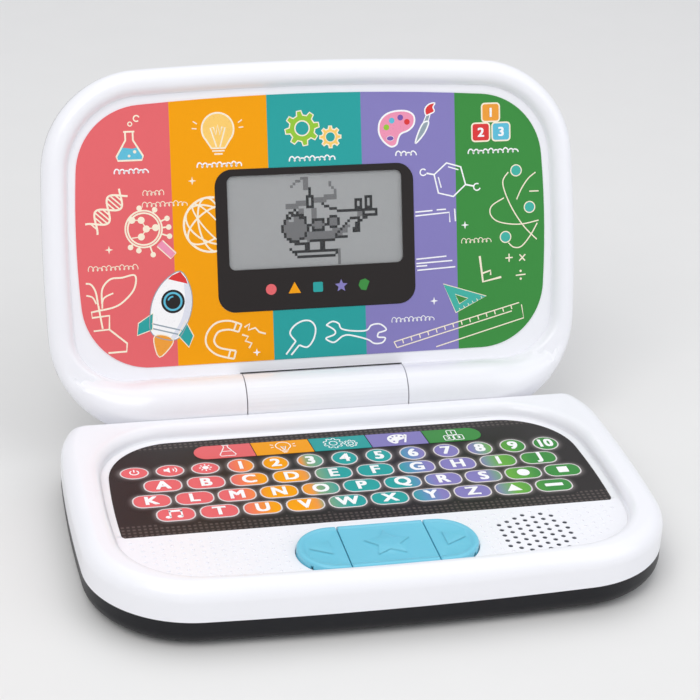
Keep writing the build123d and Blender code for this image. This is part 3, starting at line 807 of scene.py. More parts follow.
def makeScatterTree():
    sockets = (("Unit", "Object"), ("Size", "Float"), ("Finish", "Material"))
    kinds = {
        "unit": "ObjectInfo", "place": "InstanceOnPoints", "realize": "RealizeInstances",
        "paint": "SetMaterial",
    }
    wires = (
        (("entry", "Unit"), ("unit", "Object")),
        (("entry", "Geometry"), ("place", "Points")),
        (("unit", "Geometry"), ("place", "Instance")),
        (("entry", "Size"), ("place", "Scale")),
        (("place", "Instances"), ("realize", "Geometry")),
        (("realize", "Geometry"), ("paint", "Geometry")),
        (("entry", "Finish"), ("paint", "Material")),
        (("paint", "Geometry"), ("leave", "Geometry")),
    )
    return makeTree("scatterUnits", sockets, kinds, wires)[0]


def makePlateTree():
    # a flat plate between its outline and a round hole at every point
    sockets = (
        ("Points", "Object"), ("Hole Radius", "Float"), ("Thickness", "Float"), ("Finish", "Material"),
    )
    kinds = {
        "points": "ObjectInfo", "ring": "CurvePrimitiveCircle", "place": "InstanceOnPoints",
        "realize": "RealizeInstances", "border": "MeshToCurve", "join": "JoinGeometry", "fill": "FillCurve",
        "lift": "ExtrudeMesh", "flip": "FlipFaces", "both": "JoinGeometry", "merge": "MergeByDistance",
        "paint": "SetMaterial",
    }
    wires = (
        (("entry", "Points"), ("points", "Object")),
        (("entry", "Hole Radius"), ("ring", "Radius")),
        (("points", "Geometry"), ("place", "Points")),
        (("ring", "Curve"), ("place", "Instance")),
        (("place", "Instances"), ("realize", "Geometry")),
        (("entry", "Geometry"), ("border", "Mesh")),
        (("border", "Curve"), ("join", "Geometry")),
        (("realize", "Geometry"), ("join", "Geometry")),
        (("join", "Geometry"), ("fill", "Curve")),
        (("fill", "Mesh"), ("lift", "Mesh")),
        (("entry", "Thickness"), ("lift", "Offset Scale")),
        (("fill", "Mesh"), ("flip", "Mesh")),
        (("lift", "Mesh"), ("both", "Geometry")),
        (("flip", "Mesh"), ("both", "Geometry")),
        (("both", "Geometry"), ("merge", "Geometry")),
        (("merge", "Geometry"), ("paint", "Geometry")),
        (("entry", "Finish"), ("paint", "Material")),
        (("paint", "Geometry"), ("leave", "Geometry")),
    )
    tree, nodes = makeTree("dimpledPlate", sockets, kinds, wires)
    nodes["ring"].inputs["Resolution"].default_value = 12
    nodes["lift"].inputs["Individual"].default_value = False
    nodes["merge"].inputs["Distance"].default_value = 0.001 * mm
    return tree


def runTree(tree, mesh, values):
    # the tree's result on a mesh, as a plain mesh
    piece = temporary("running", mesh)
    modifier = piece.modifiers.new("nodes", "NODES")
    modifier.node_group = tree
    for item in tree.interface.items_tree:
        if item.item_type == "SOCKET" and item.in_out == "INPUT" and item.name in values:
            modifier[item.identifier] = values[item.name]
    return evaluated(piece)


scatterTree = makeScatterTree()
plateTree = makePlateTree()


def pointMesh(name, points):
    mesh = bpy.data.meshes.new(name)
    mesh.from_pydata([tuple(point) for point in points], [], [])
    return mesh


def scattered(name, unitMesh, points, finish):
    unit = temporary("unit", unitMesh)
    mesh = runTree(
        scatterTree, pointMesh(name, points), {"Unit": unit, "Size": 1.0, "Finish": finishes[finish]},
    )
    bpy.data.objects.remove(unit)
    mesh.name = name
    return mesh


def joined(name, meshes):
    shape = bmesh.new()
    for mesh in meshes:
        shape.from_mesh(mesh)
    result = bpy.data.meshes.new(name)
    shape.to_mesh(result)
    shape.free()
    return result


# ---- keys: printed and slightly embossed on the film
keyLayout = {
    "letterHalf": (7.75 * mm, 4.6 * mm),
    "letterRound": 3.9 * mm,
    "digitHalf": (5.35 * mm, 5.35 * mm),
    "ovalHalf": (5.7 * mm, 4.4 * mm),
    "ring": 0.62 * mm,
    "capLevels": ((0.0, 0.0), (0.0, 0.16), (-0.12, 0.26), (-0.4, 0.33), (-1.2, 0.37)),
    "ringLevels": ((0.62, 0.0), (0.62, 0.1), (0.5, 0.17), (0.1, 0.17), (-0.1, 0.0)),
    "reach": (13.0 * mm, 10.0 * mm),
    "glow": 3.0 * mm,
    "glowStep": 0.75 * mm,
    "rows": (
        # distance in front of the hinge, first key, pitch, kinds and legends
        (48.5, -94.3, 15.6, ["power", "speaker", "sun"] + [str(k) for k in range(1, 11)]),
        (60.8, -83.6, 18.8, list("ABCDEFGHIJ")),
        (73.1, -90.1, 18.3, list("KLMNOPQRS") + ["disc", "square"]),
        (85.4, -81.7, 18.5, ["note"] + list("TUVWXYZ") + ["triangle", "bar"]),
    ),
}


def keyPlaces():
    places = []
    for row, (ahead, first, pitch, legends) in enumerate(keyLayout["rows"]):
        for k, legend in enumerate(legends):
            kind = "letter" if row else ("oval" if k < 3 else "digit")
            places.append((kind, legend, (first + pitch * k) * mm, hinge.y - ahead * mm))
    return places


def keyOutline(kind, grow=0.0):
    if kind == "letter":
        halfX, halfY = keyLayout["letterHalf"]
        return roundedBox(halfX + grow, halfY + grow, keyLayout["letterRound"] + grow, 5)
    halfX, halfY = keyLayout[kind + "Half"]
    return circlePoints(0, 0, halfX + grow, 28, squash=(halfY + grow) / (halfX + grow))


def keyUnit(name, kind, levels, ring):
    # a low cushion, or the raised ring round it: how far out and how high each loop lies
    loops = [[(x, y, z * mm) for x, y in keyOutline(kind, grow * mm)] for grow, z in levels]
    mesh = meshFrom(name, lambda shape: loftShell(shape, loops, ring))
    smoothed(mesh, 50)
    return mesh


def keyGlow(x, y, places):
    # how strongly the printed glow of the nearest key reaches a place on the film
    strongest = 0.0
    for kind, legend, keyX, keyY in places:
        dx, dy = abs(x - keyX), abs(y - keyY)
        if dx > keyLayout["reach"][0] or dy > keyLayout["reach"][1]:
            continue
        if kind == "letter":
            halfX, halfY = keyLayout["letterHalf"]
            corner = keyLayout["letterRound"]
            beyondX, beyondY = dx - halfX + corner, dy - halfY + corner
            away = math.hypot(max(beyondX, 0), max(beyondY, 0)) + min(max(beyondX, beyondY), 0) - corner
        else:
            halfX, halfY = keyLayout[kind + "Half"]
            away = (math.hypot(dx / halfX, dy / halfY) - 1) * (halfX + halfY) / 2
        strongest = max(strongest, 1 - (away - keyLayout["ring"]) / keyLayout["glow"])
    return min(strongest, 1.0)


def makeGlow():
    # one thin print under all the keys; its glow attribute fades with distance from them
    places, step = keyPlaces(), keyLayout["glowStep"]
    low, high = deckHeight - 0.02 * mm, deckHeight + 0.03 * mm
    countX = int((filmHigh.x - filmLow.x) / step)
    countY = int((filmHigh.y - filmLow.y) / step)
    strengths = {}
    for i in range(countX + 1):
        for j in range(countY + 1):
            strengths[i, j] = keyGlow(filmLow.x + i * step, filmLow.y + j * step, places)
    cells = {
        (i, j) for i in range(countX) for j in range(countY)
        if max(strengths[i + di, j + dj] for di in (0, 1) for dj in (0, 1)) > 0
    }

    def build(shape):
        glow = shape.verts.layers.float.new("glow")
        corners = {}

        def corner(i, j, top):
            if (i, j, top) not in corners:
                place = (filmLow.x + i * step, filmLow.y + j * step, high if top else low)
                corners[i, j, top] = shape.verts.new(place)
                corners[i, j, top][glow] = max(strengths[i, j], 0.0)
            return corners[i, j, top]

        for i, j in sorted(cells):
            ring = ((i, j), (i + 1, j), (i + 1, j + 1), (i, j + 1))
            shape.faces.new([corner(*spot, True) for spot in ring])
            shape.faces.new([corner(*spot, False) for spot in reversed(ring)])
            for k, beside in enumerate(((i, j - 1), (i + 1, j), (i, j + 1), (i - 1, j))):
                if beside not in cells:
                    first, second = ring[k], ring[(k + 1) % 4]
                    shape.faces.new((
                        corner(*first, False), corner(
                            *second, False,
                        ), corner(*second, True), corner(*first, True)
                    ))
    linkPiece("keyGlow", meshFrom("keyGlow", build), "keyHalo", "base")


keyTones = (
    # the print's colours across the film, in millimetres right of the middle
    (-106, stripeColours["coral"]), (-55, stripeColours["coral"]), (-48, srgb(243, 130, 84)),
    (-40, stripeColours["amber"]), (-26, stripeColours["amber"]), (-21, srgb(240, 155, 70)),
    (-18, srgb(134, 168, 124)), (-7, stripeColours["teal"]), (20, stripeColours["teal"]),
    (27, srgb(96, 148, 188)), (34, stripeColours["lavender"]), (57, stripeColours["lavender"]),
    (67, srgb(112, 178, 72)), (82, stripeColours["green"]),
)
keySpan = 106.0
toneStops = [((place + keySpan) / (2 * keySpan), colour) for place, colour in keyTones]
finishes["keyPrint"] = striped("keyPrint", toneStops, -keySpan * mm, keySpan * mm, 0.4, True)


def makeKeys():
    places = keyPlaces()
    layers = (("keyRings", "keyRing", "ringLevels", True), ("keyCaps", "keyPrint", "capLevels", False))
    for name, finish, levels, ring in layers:
        parts = []
        for kind in ("letter", "digit", "oval"):
            points = [(x, y, deckHeight) for one, legend, x, y in places if one == kind]
            parts.append(scattered(name, keyUnit(name, kind, keyLayout[levels], ring), points, finish))
        linkPiece(name, joined(name, parts), finish, "base")


makeGlow()
makeKeys()
print("keys made", len(keyPlaces()))


# ---- key legends
glyphShape = {"capital": 0.76, "extrude": 0.02, "raised": 0.12 * mm, "weight": 0.05, "lift": 0.008 * mm}


def glyphMesh(character, height, stretch=1.1):
    # one raised character, centred on the origin; shifted copies make its strokes bold
    curve = bpy.data.curves.new("glyph", "FONT")
    curve.body = character
    curve.align_x, curve.align_y = "CENTER", "CENTER"
    curve.size = 1.0
    curve.resolution_u = 4
    curve.extrude = glyphShape["extrude"]
    piece = temporary("glyph", curve)
    mesh = evaluated(piece)
    bpy.data.curves.remove(curve)
    low, high = extent([vertex.co for vertex in mesh.vertices])
    scale = height / glyphShape["capital"]
    thickness = glyphShape["raised"] / (2 * glyphShape["extrude"])
    mesh.transform(Matrix.Translation(-(low + high) / 2))
    mesh.transform(Matrix.Diagonal((scale * stretch, scale, thickness, 1)))
    weight = glyphShape["weight"] * height
    copies = []
    for k, (dx, dy) in enumerate(((0, 0), (1, 0.6), (-1, -0.6), (1, -0.6), (-1, 0.6))):
        copies.append(mesh.copy())
        copies[-1].transform(Matrix.Translation((dx * weight, dy * weight, k * glyphShape["lift"])))
    return joined("glyph", copies)


def noteIcon(shape, low, high):
    for x in (-1.5, 1.5):
        addPrism(shape, circlePoints((x - 0.55) * mm, -1.35 * mm, 0.8 * mm, 14, squash=0.75), low, high)
        addStroke(shape, [(x * mm, -1.3 * mm), (x * mm, 1.7 * mm)], 0.45 * mm, low, high)
    addStroke(shape, [(-1.72 * mm, 1.5 * mm), (1.72 * mm, 1.5 * mm)], 0.9 * mm, low, high)


def powerIcon(shape, low, high):
    addStroke(shape, circlePoints(0, 0, 1.35 * mm, 16, 130, 280), 0.42 * mm, low, high)
    addStroke(shape, [(0, 0.2 * mm), (0, 1.7 * mm)], 0.42 * mm, low, high)


def speakerIcon(shape, low, high):
    outline = [(-1.9, -0.6), (-1.1, -0.6), (-0.1, -1.5), (-0.1, 1.5), (-1.1, 0.6), (-1.9, 0.6)]
    addPrism(shape, [(x * mm, y * mm) for x, y in outline], low, high)
    for radius in (1.0, 1.9):
        addStroke(shape, circlePoints(0.1 * mm, 0, radius * mm, 8, -42, 84), 0.36 * mm, low, high)


def sunIcon(shape, low, high):
    addPrism(shape, circlePoints(0, 0, 0.95 * mm, 16), low, high)
    for k in range(8):
        c, s = math.cos(k * math.pi / 4), math.sin(k * math.pi / 4)
        ray = [(1.3 * mm * c, 1.3 * mm * s), (1.95 * mm * c, 1.95 * mm * s)]
        addStroke(shape, ray, 0.42 * mm, low, high)


legendShapes = {
    "power": powerIcon,
    "speaker": speakerIcon,
    "sun": sunIcon,
    "note": noteIcon,
    "disc": lambda shape, low, high: addPrism(shape, circlePoints(0, 0, 1.9 * mm, 24), low, high),
    "square": lambda shape, low, high: addPrism(
        shape, roundedBox(1.7 * mm, 1.7 * mm, 0.2 * mm, 3), low, high,
    ),
    "triangle": lambda shape, low, high: addPrism(
        shape, [(-2.1 * mm, -1.6 * mm), (2.1 * mm, -1.6 * mm), (0, 1.9 * mm)], low, high
    ),
    "bar": lambda shape, low, high: addPrism(
        shape, roundedBox(3.4 * mm, 0.95 * mm, 0.2 * mm, 3), low, high,
    ),
}
legendSizes = {
    "power": 1.4, "speaker": 1.45, "sun": 1.45, "note": 1.65,
    "disc": 1.5, "square": 1.4, "triangle": 1.6, "bar": 1.2,
}
legendHeight = 6.9 * mm


def makeLegends():
    top = deckHeight + 0.36 * mm
    parts = []
    for kind, legend, x, y in keyPlaces():
        if legend in legendShapes:
            mesh = meshFrom("icon", lambda shape: legendShapes[legend](shape, 0.0, 0.1 * mm))
            turnOutwards(mesh)
            mesh.transform(Matrix.Diagonal((legendSizes[legend], legendSizes[legend], 1, 1)))
            lift = top
        else:
            mesh = glyphMesh(legend, legendHeight, 0.85 if legend == "10" else 1.0)
            lift = top + 0.05 * mm
        mesh.transform(Matrix.Translation((x, y, lift)))
        parts.append(mesh)
    linkPiece("keyLegends", joined("keyLegends", parts), "white", "base")


makeLegends()
print("legends made")


# ---- dimpled deck: a thin plate in front of the keyboard film
deckPlate = {
    "thickness": 0.35 * mm,
    "sunk": 0.05 * mm,
    "dimple": 0.75 * mm,
    "column": 4.06 * mm,
    "pitch": 4.19 * mm,
    "margin": 4.6 * mm,
    "rimWidth": 15.0 * mm,
    "frontRim": 12.0 * mm,
    "corner": 34.3 * mm,
    "pillHalf": (38.25 * mm, 16.0 * mm),
    "pillGap": 0.7 * mm,
    "pillMargin": 3.2 * mm,
    "grilleReach": 16.5 * mm,
    "grilleHole": 1.07 * mm,
    "clothRadius": 1.04 * mm,
    "clothDepth": 0.3 * mm,
    "columns": range(-60, 25),
    "rows": range(-14, 15),
}
speakerLow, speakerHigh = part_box("speaker_basket")
speakerMiddle = (speakerLow + speakerHigh) / 2
starLow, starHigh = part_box("star_button")
buttonMiddle = (starLow + starHigh) / 2


def pocketOutline(inset=0.0):
    # the deck pocket's edge in base coordinates, in front of the keyboard film
    outline = bowedOutline(
        halfCase - deckPlate["rimWidth"] - inset, 20 * mm, frontReach - deckPlate["frontRim"] - inset,
        lidShape["sideBow"], lidShape["farBow"], deckPlate["corner"] - inset, outlineSteps,
    )
    return [(point.x, hinge.y - point.y) for point, normal, roll in outline]


def clippedFront(outline, edge):
    # the part of a closed outline in front of a line across the deck
    kept = []
    count = len(outline)
    for k, (x, y) in enumerate(outline):
        nextX, nextY = outline[(k + 1) % count]
        if y < edge:
            kept.append((x, y))
        if (y < edge) != (nextY < edge):
            share = (edge - y) / (nextY - y)
            kept.append((x + (nextX - x) * share, edge))
    return kept


def pillOutline(grow):
    halfX, halfY = deckPlate["pillHalf"]
    grown = halfY + grow
    return roundedBox(halfX + grow, grown, grown - 0.01 * mm, 16, buttonMiddle.x, buttonMiddle.y)


def insideOutline(outline, x, y):
    inside = False
    for k, (x2, y2) in enumerate(outline):
        x1, y1 = outline[k - 1]
        if (y1 > y) != (y2 > y) and x < x1 + (y - y1) / (y2 - y1) * (x2 - x1):
            inside = not inside
    return inside


def dimplePoints(outline):
    # the grille's own lattice carried on over the whole deck
    column, pitch = deckPlate["column"], deckPlate["pitch"]
    pill = pillOutline(deckPlate["pillMargin"])
    dimples, grille = [], []
    for i in deckPlate["columns"]:
        for j in deckPlate["rows"]:
            dx, dy = (i + 0.5) * column, (j + 0.5 * (i % 2)) * pitch
            x, y = speakerMiddle.x + dx, speakerMiddle.y + dy
            if insideOutline(outline, x, y) and not insideOutline(pill, x, y):
                near = math.hypot(dx, dy) <= deckPlate["grilleReach"]
                (grille if near else dimples).append((x, y, deckHeight))
    return dimples, grille


def edgeMesh(loops):
    # closed loops of edges, which the plate's tree turns into curves
    points, edges = [], []
    for loop in loops:
        first = len(points)
        points += [(x, y, 0.0) for x, y in loop]
        edges += [(first + k, first + (k + 1) % len(loop)) for k in range(len(loop))]
    mesh = bpy.data.meshes.new("outline")
    mesh.from_pydata(points, edges, [])
    return mesh


def makeDeckPlate():
    edge = filmLow.y - 0.1 * mm
    outline = clippedFront(pocketOutline(0.15 * mm), edge)
    inner = clippedFront(pocketOutline(deckPlate["margin"]), edge - deckPlate["margin"])
    dimples, grille = dimplePoints(inner)
    border = [outline, pillOutline(deckPlate["pillGap"])]
    big = [circlePoints(x, y, deckPlate["grilleHole"], 14) for x, y, z in grille]
    holder = temporary("dimplePoints", pointMesh("dimplePoints", dimples))
    mesh = runTree(plateTree, edgeMesh(border + big), {
        "Points": holder,
        "Hole Radius": deckPlate["dimple"],
        "Thickness": deckPlate["thickness"],
        "Finish": finishes["whiteShell"],
    })
    bpy.data.objects.remove(holder)
    mesh.transform(Matrix.Translation((0, 0, deckHeight - deckPlate["sunk"])))
    linkPiece("deckPlate", mesh, "whiteShell", "base")
    # a dark disc just under every grille hole, painted shade that darkens the holes
    unit = prismMesh(
        "cloth", circlePoints(0, 0, deckPlate["clothRadius"], 12), -deckPlate["clothDepth"], 0.0,
    )
    linkPiece(
        "grilleCloth", scattered("grilleCloth", unit, grille, "cloth"), "cloth", "base",
    )
    print("deck plate made", len(dimples), "dimples", len(mesh.polygons), "faces")


makeDeckPlate()


# ---- category bar across the back of the film: five printed segments with line icons
categoryBar = {
    "ahead": 35.0 * mm,
    "half": (66.0 * mm, 5.75 * mm),
    "gap": 0.45 * mm,
    "height": 0.2 * mm,
    "line": 0.42 * mm,
    "lean": 0.09,
    "upright": 7.0 * mm,
    "wells": ((-2.5, 0.6), (-1.2, 2.2), (0.8, 2.7), (2.7, 1.8), (-1.5, -2.0)),
    "blocks": ((0, 2.3, "1"), (-2.35, -2.3, "2"), (2.35, -2.3, "3")),
}


def cutOutline(outline, low, high):
    # a convex outline between two places along X
    def clip(points, keep, edge):
        kept = []
        for k, (x, y) in enumerate(points):
            nextX, nextY = points[(k + 1) % len(points)]
            if keep(x):
                kept.append((x, y))
            if keep(x) != keep(nextX):
                share = (edge - x) / (nextX - x)
                kept.append((edge, y + (nextY - y) * share))
        return kept
    return clip(clip(outline, lambda x: x > low, low), lambda x: x < high, high)


def scaled(lines, size):
    return [[(x * size, y * size) for x, y in line] for line in lines]


def flaskLines(size):
    body = [
        (-1.1, 6.5), (-1.1, 4.2), (-4.3, -3.6), (-3.7, -4.9), (3.7, -4.9), (4.3, -3.6), (1.1, 4.2),
        (1.1, 6.5),
    ]
    return scaled([body, [(-1.9, 6.5), (1.9, 6.5)], [(-2.9, 0.0), (2.9, 0.0)]], size)


def bulbLines(size):
    glass = circlePoints(0, 1.4, 4.0, 20, -52, 284)
    lines = [
        glass + [(-1.9, -3.4), (1.9, -3.4), glass[0]], [(-1.6, -4.6), (1.6, -4.6)],
        [(-1.0, -5.6), (1.0, -5.6)],
    ]
    lines += [[(0.0, -3.2), (-1.4, 1.0), (0, 0.2), (1.4, 1.0), (0.0, -3.2)]]
    for near, far in ((2.6, 3.4), (0.6, 0.2)):
        lines += [[(side * 5.2, near), (side * 6.8, far)] for side in (-1, 1)]
    return scaled(lines, size)


def gearOutline(x, y, outer, inner, teeth, turn=0.0):
    points = []
    for k in range(teeth):
        for share, radius in ((-0.3, inner), (-0.17, outer), (0.17, outer), (0.3, inner)):
            angle = 2 * math.pi * (k + share) / teeth + math.radians(turn)
            points.append((x + radius * math.cos(angle), y + radius * math.sin(angle)))
    return points


def makeCategoryBar():
    middleY = hinge.y - categoryBar["ahead"]
    halfX, halfY = categoryBar["half"]
    low, high = deckHeight, deckHeight + categoryBar["height"]
    pill = roundedBox(halfX, halfY, halfY - 0.01 * mm, 12, 0, middleY)
    wide = 2 * halfX / len(stripeColours)
    leaning = halfX - categoryBar["upright"]
    for k, colour in enumerate(stripeColours):
        start = -halfX + wide * k + (categoryBar["gap"] if k else 0)
        part = cutOutline(pill, start, -halfX + wide * (k + 1))
        mesh = prismMesh("segment", part, low, high)
        for vertex in mesh.vertices:
            if abs(vertex.co.x) < leaning:
                vertex.co.x -= categoryBar["lean"] * (vertex.co.y - middleY)
        linkPiece(colour + "Segment", mesh, colour + "Print", "base")
    lines = meshFrom("categoryIcons", lambda shape: drawCategoryIcons(shape, wide, middleY, high))
    turnOutwards(lines)
    linkPiece("categoryIcons", lines, "white", "base")

    def wells(shape):
        for dx, dy in categoryBar["wells"]:
            addPrism(
                shape, circlePoints(wide + dx * mm, middleY + dy * mm, 0.55 * mm, 10), high,
                high + 0.1 * mm,
            )

    linkPiece("paletteWells", meshFrom("paletteWells", wells), "lavenderPrint", "base")


def drawCategoryIcons(shape, wide, middleY, height):
    pen, top = categoryBar["line"], height + 0.06 * mm

    def place(k, points, dx=0.0):
        return [((k - 2) * wide + (x + dx) * mm, middleY + y * mm) for x, y in points]

    for line in flaskLines(0.84):
        addStroke(shape, place(0, line, 1.6), pen, height, top)
    for line in bulbLines(0.84):
        addStroke(shape, place(1, line, 0.8), pen, height, top)
    for dx, dy, size, teeth in ((-2.8, 0.3, 4.5, 9), (5.0, -0.9, 3.0, 8)):
        addStroke(shape, place(2, gearOutline(dx, dy, size, size * 0.78, teeth)), pen, height, top, True)
        addStroke(shape, place(2, circlePoints(dx, dy, size * 0.4, 16)), pen, height, top, True)
    addPrism(
        shape, place(3, softPath([(x * 0.5, y * 0.5) for x, y in paletteOutline], True, 3)), height, top,
    )
    brush = [(2.9, -3.4), (3.8, -3.6), (4.9, 0.4), (5.6, 3.2), (4.4, 4.1), (4.0, 0.6)]
    addPrism(shape, place(3, brush), height, top)
    for dx, dy, digit in categoryBar["blocks"]:
        addStroke(shape, place(4, roundedBox(2.1, 2.1, 0.6, 3, dx, dy)), pen, height, top, True)
        glyph = glyphMesh(digit, 2.3 * mm)
        glyph.transform(Matrix.Translation((2 * wide + dx * mm, middleY + dy * mm, top)))
        shape.from_mesh(glyph)


paletteOutline = (
    (-8.3, 0.0), (-7.5, 3.8), (-4.5, 6.8), (0.0, 8.1), (5.3, 7.9), (8.5, 5.7), (8.5, 1.9),
    (6.0, -0.8), (2.3, -2.3), (0.9, -4.5), (0.0, -7.2), (-2.6, -8.1), (-5.7, -6.0), (-7.7, -3.0),
)
for colourName, colour in stripeColours.items():
    finishes[colourName + "Print"] = moulded(
        colourName + "Print", colour, 0.4, shift=0.08, grain=900.0, shine=0.2,
    )
makeCategoryBar()
print("category bar made")


# ---- screen: printed border, clear pane and the display's picture
screen = {
    "windowHalf": (40.95 * mm, 21.45 * mm),
    "windowMiddle": labelLow.y + 42.3 * mm + 21.45 * mm,
    "windowRound": 3.0 * mm,
    "borderRound": 8.0 * mm,
    "proud": 0.25 * mm,
    "cell": 1.2 * mm,
    "cellFill": 1.06,
}


def makeBezel():
    outer = roundedBox(lensHalfX, lensHalfY, screen["borderRound"], 8, 0, lensMiddle)
    inner = roundedBox(*screen["windowHalf"], screen["windowRound"], 8, 0, screen["windowMiddle"])
    low, high = lensLow.z, lensHigh.z + screen["proud"]
    rails = ((outer, high), (inner, high), (inner, low), (outer, low))
    loops = [[(x, y, z) for x, y in loop] for loop, z in rails]
    mesh = meshFrom("screenBorder", lambda shape: loftShell(shape, loops, True))
    border = linkPiece("screenBorder", mesh, "bezel", "lid", lidMatrix, ["screen_lens"])
    soften = border.modifiers.new("soften", "BEVEL")
    soften.width, soften.segments, soften.limit_method = 0.12 * mm, 2, "ANGLE"
    mesh = prismMesh("screenPane", inner, high - 0.7 * mm, high - 0.1 * mm)
    linkPiece("screenPane", mesh, "pane", "lid", lidMatrix, ["screen_lens"])


def paneFinish():
    material, tree, shader, coords = newFinish("clearPane")
    haze = addNoise(tree, coords, 90.0)
    colour = addMix(tree, haze, (0.75, 0.77, 0.78), (0.85, 0.87, 0.88))
    dress(tree, shader, colour, addRange(tree, haze, 0.04, 0.1), 0.2)
    shader.inputs["Alpha"].default_value = 0.03
    return material


def filledCells(test, reachX=34, reachY=17):
    return {(i, j) for i in range(-reachX, reachX + 1) for j in range(-reachY, reachY + 1) if test(i, j)}


def rimCells(cells):
    return {(i, j) for i, j in cells if not {(i + 1, j), (i - 1, j), (i, j + 1), (i, j - 1)} <= cells}


def ovalCells(x, y, halfX, halfY):
    return filledCells(lambda i, j: ((i - x) / halfX) ** 2 + ((j - y) / halfY) ** 2 <= 1)


def boxCells(x1, y1, x2, y2):
    return filledCells(lambda i, j: x1 <= i <= x2 and y1 <= j <= y2)


def lineCells(*points):
    cells = set()
    for (x1, y1), (x2, y2) in zip(points, points[1:]):
        steps = max(abs(x2 - x1), abs(y2 - y1))
        for k in range(steps + 1):
            cells.add((round(x1 + (x2 - x1) * k / steps), round(y1 + (y2 - y1) * k / steps)))
    return cells


def pictureCells():
    # a plain toy helicopter, drawn from ovals, boxes and lines of cells
    nose = ovalCells(-8, -3, 5.2, 5.4)
    windows = [ovalCells(1, -2, 3.2, 2.6), ovalCells(7, -1, 2.2, 2.6)]
    shadow = ovalCells(0, -3, 13, 5.2) - ovalCells(1, 0, 14, 4.4)
    dark = rimCells(nose)
    for window in windows:
        dark |= rimCells(window)
    dark |= rimCells(boxCells(-3, 5, -1, 9)) | boxCells(-2, 10, -2, 12)
    dark |= lineCells((3, 6), (6, 4), (10, 3), (24, 3)) | lineCells((-11, 2), (-8, 4), (-4, 1))
    dark |= lineCells((8, -6), (14, 0), (17, 0)) | lineCells((-10, -8), (-7, -9), (3, -8), (12, -7))
    dark |= rimCells(boxCells(16, 4, 18, 7)) | rimCells(boxCells(20, 4, 22, 8)) | rimCells(
        boxCells(19, 1, 24, 3)
    )
    dark |= lineCells(
        (16, -4), (18, -1), (20, 0),
    ) | lineCells((15, -4), (17, -1)) | boxCells(15, -5, 17, -4)
    dark |= boxCells(-4, -12, -3, -9) | boxCells(2, -12, 3, -9) | lineCells((-9, -12), (8, -12))
    dark |= lineCells((-10, -11), (-9, -12), (-7, -14), (7, -14), (8, -12))
    middle = set().union(nose, shadow, *windows) | boxCells(-11, 5, -7, 6) | boxCells(-7, 6, -4, 7)
    middle |= boxCells(0, 7, 4, 8) | boxCells(4, 8, 8, 9) | boxCells(
        -4, 12, -3, 16,
    ) | boxCells(-1, -1, 0, 4)
    middle |= boxCells(17, 1, 18, 2) | boxCells(9, -17, 9, -12) | lineCells((-9, 13), (-7, 15), (-4, 16))
    middle |= lineCells((6, 14), (7, 12), (8, 10)) | boxCells(-6, 3, -5, 4)
    return dark, middle - dark - boxCells(-10, 0, -9, 1)


def makePicture():
    pitch, top = screen["cell"], lcdHigh.z
    half = pitch * screen["cellFill"] / 2
    square = [(-half, -half), (half, -half), (half, half), (-half, half)]
    dark, middle = pictureCells()
    for name, cells, finish in (("darkCells", dark, "lcdDark"), ("middleCells", middle, "lcdMid")):
        unit = prismMesh("cell", square, -0.05 * mm, 0.04 * mm)
        points = [(i * pitch, screen["windowMiddle"] + j * pitch, top) for i, j in sorted(cells)]
        mesh = scattered(name, unit, points, finish)
        linkPiece(name, mesh, finish, "lid", lidMatrix)


finishes["pane"] = paneFinish()
makeBezel()
makePicture()
print("screen made")


# ---- drawings printed on the lid's label, in label millimetres: across, away from the hinge
drawing = {
    "sunk": 0.02 * mm, "ground": 0.05 * mm, "step": 0.035 * mm, "turns": 8, "turn": 0.004 * mm,
    "pen": 0.78,
}
sheets = {}
drawOrder = [0]


def layer(ink):
    # an ink's sheet and heights; overlapping strokes differ a little, so that their tops never coincide
    if ink not in sheets:
        sheets[ink] = bmesh.new()
    drawOrder[0] += 1
    turn = (drawOrder[0] % drawing["turns"]) * drawing["turn"]
    return sheets[ink], labelFace - drawing["sunk"], labelFace + drawing["ground"] + turn


def shifted(points, x, y):
    return [((px + x) * mm, (py + y) * mm) for px, py in points]


def paint(ink, points, x=0.0, y=0.0):
    shape, low, high = layer(ink)
    addPrism(shape, shifted(points, x, y), low, high)


def line(ink, points, x=0.0, y=0.0, pen=None, closed=False):
    shape, low, high = layer(ink)
    addStroke(
        shape, shifted(points, x, y), (pen or drawing["pen"]) * mm, low, high + drawing["step"], closed,
    )


def lines(ink, x, y, pen, *runs):
    for points in runs:
        line(ink, points, x, y, pen)


def outlined(fill, ink, points, x=0.0, y=0.0, pen=None):
    paint(fill, points, x, y)
    line(ink, points, x, y, pen, True)


def dot(ink, x, y, radius):
    paint(ink, circlePoints(x, y, radius, 16))


def lifted(ink, points, x=0.0, y=0.0):
    # a fill that lies on top of another fill
    shape, low, high = layer(ink)
    addPrism(shape, shifted(points, x, y), low, high + 0.6 * drawing["step"])


def handwriting(ink, x, y, length, height, pen, loops):
    # looped scribble in place of words
    points = []
    steps = loops * 10
    for k in range(steps + 1):
        t = 2 * math.pi * loops * k / steps
        rise = height / 2 * (1 - math.cos(t)) * (0.8 + 0.2 * math.sin(0.7 * t))
        points.append((length * k / steps - 0.28 * height * math.sin(t), rise))
    line(ink, points, x, y, pen)


def sparkle(ink, x, y, size):
    paint(ink, starPoints(x, y, size, size * 0.3, 4))


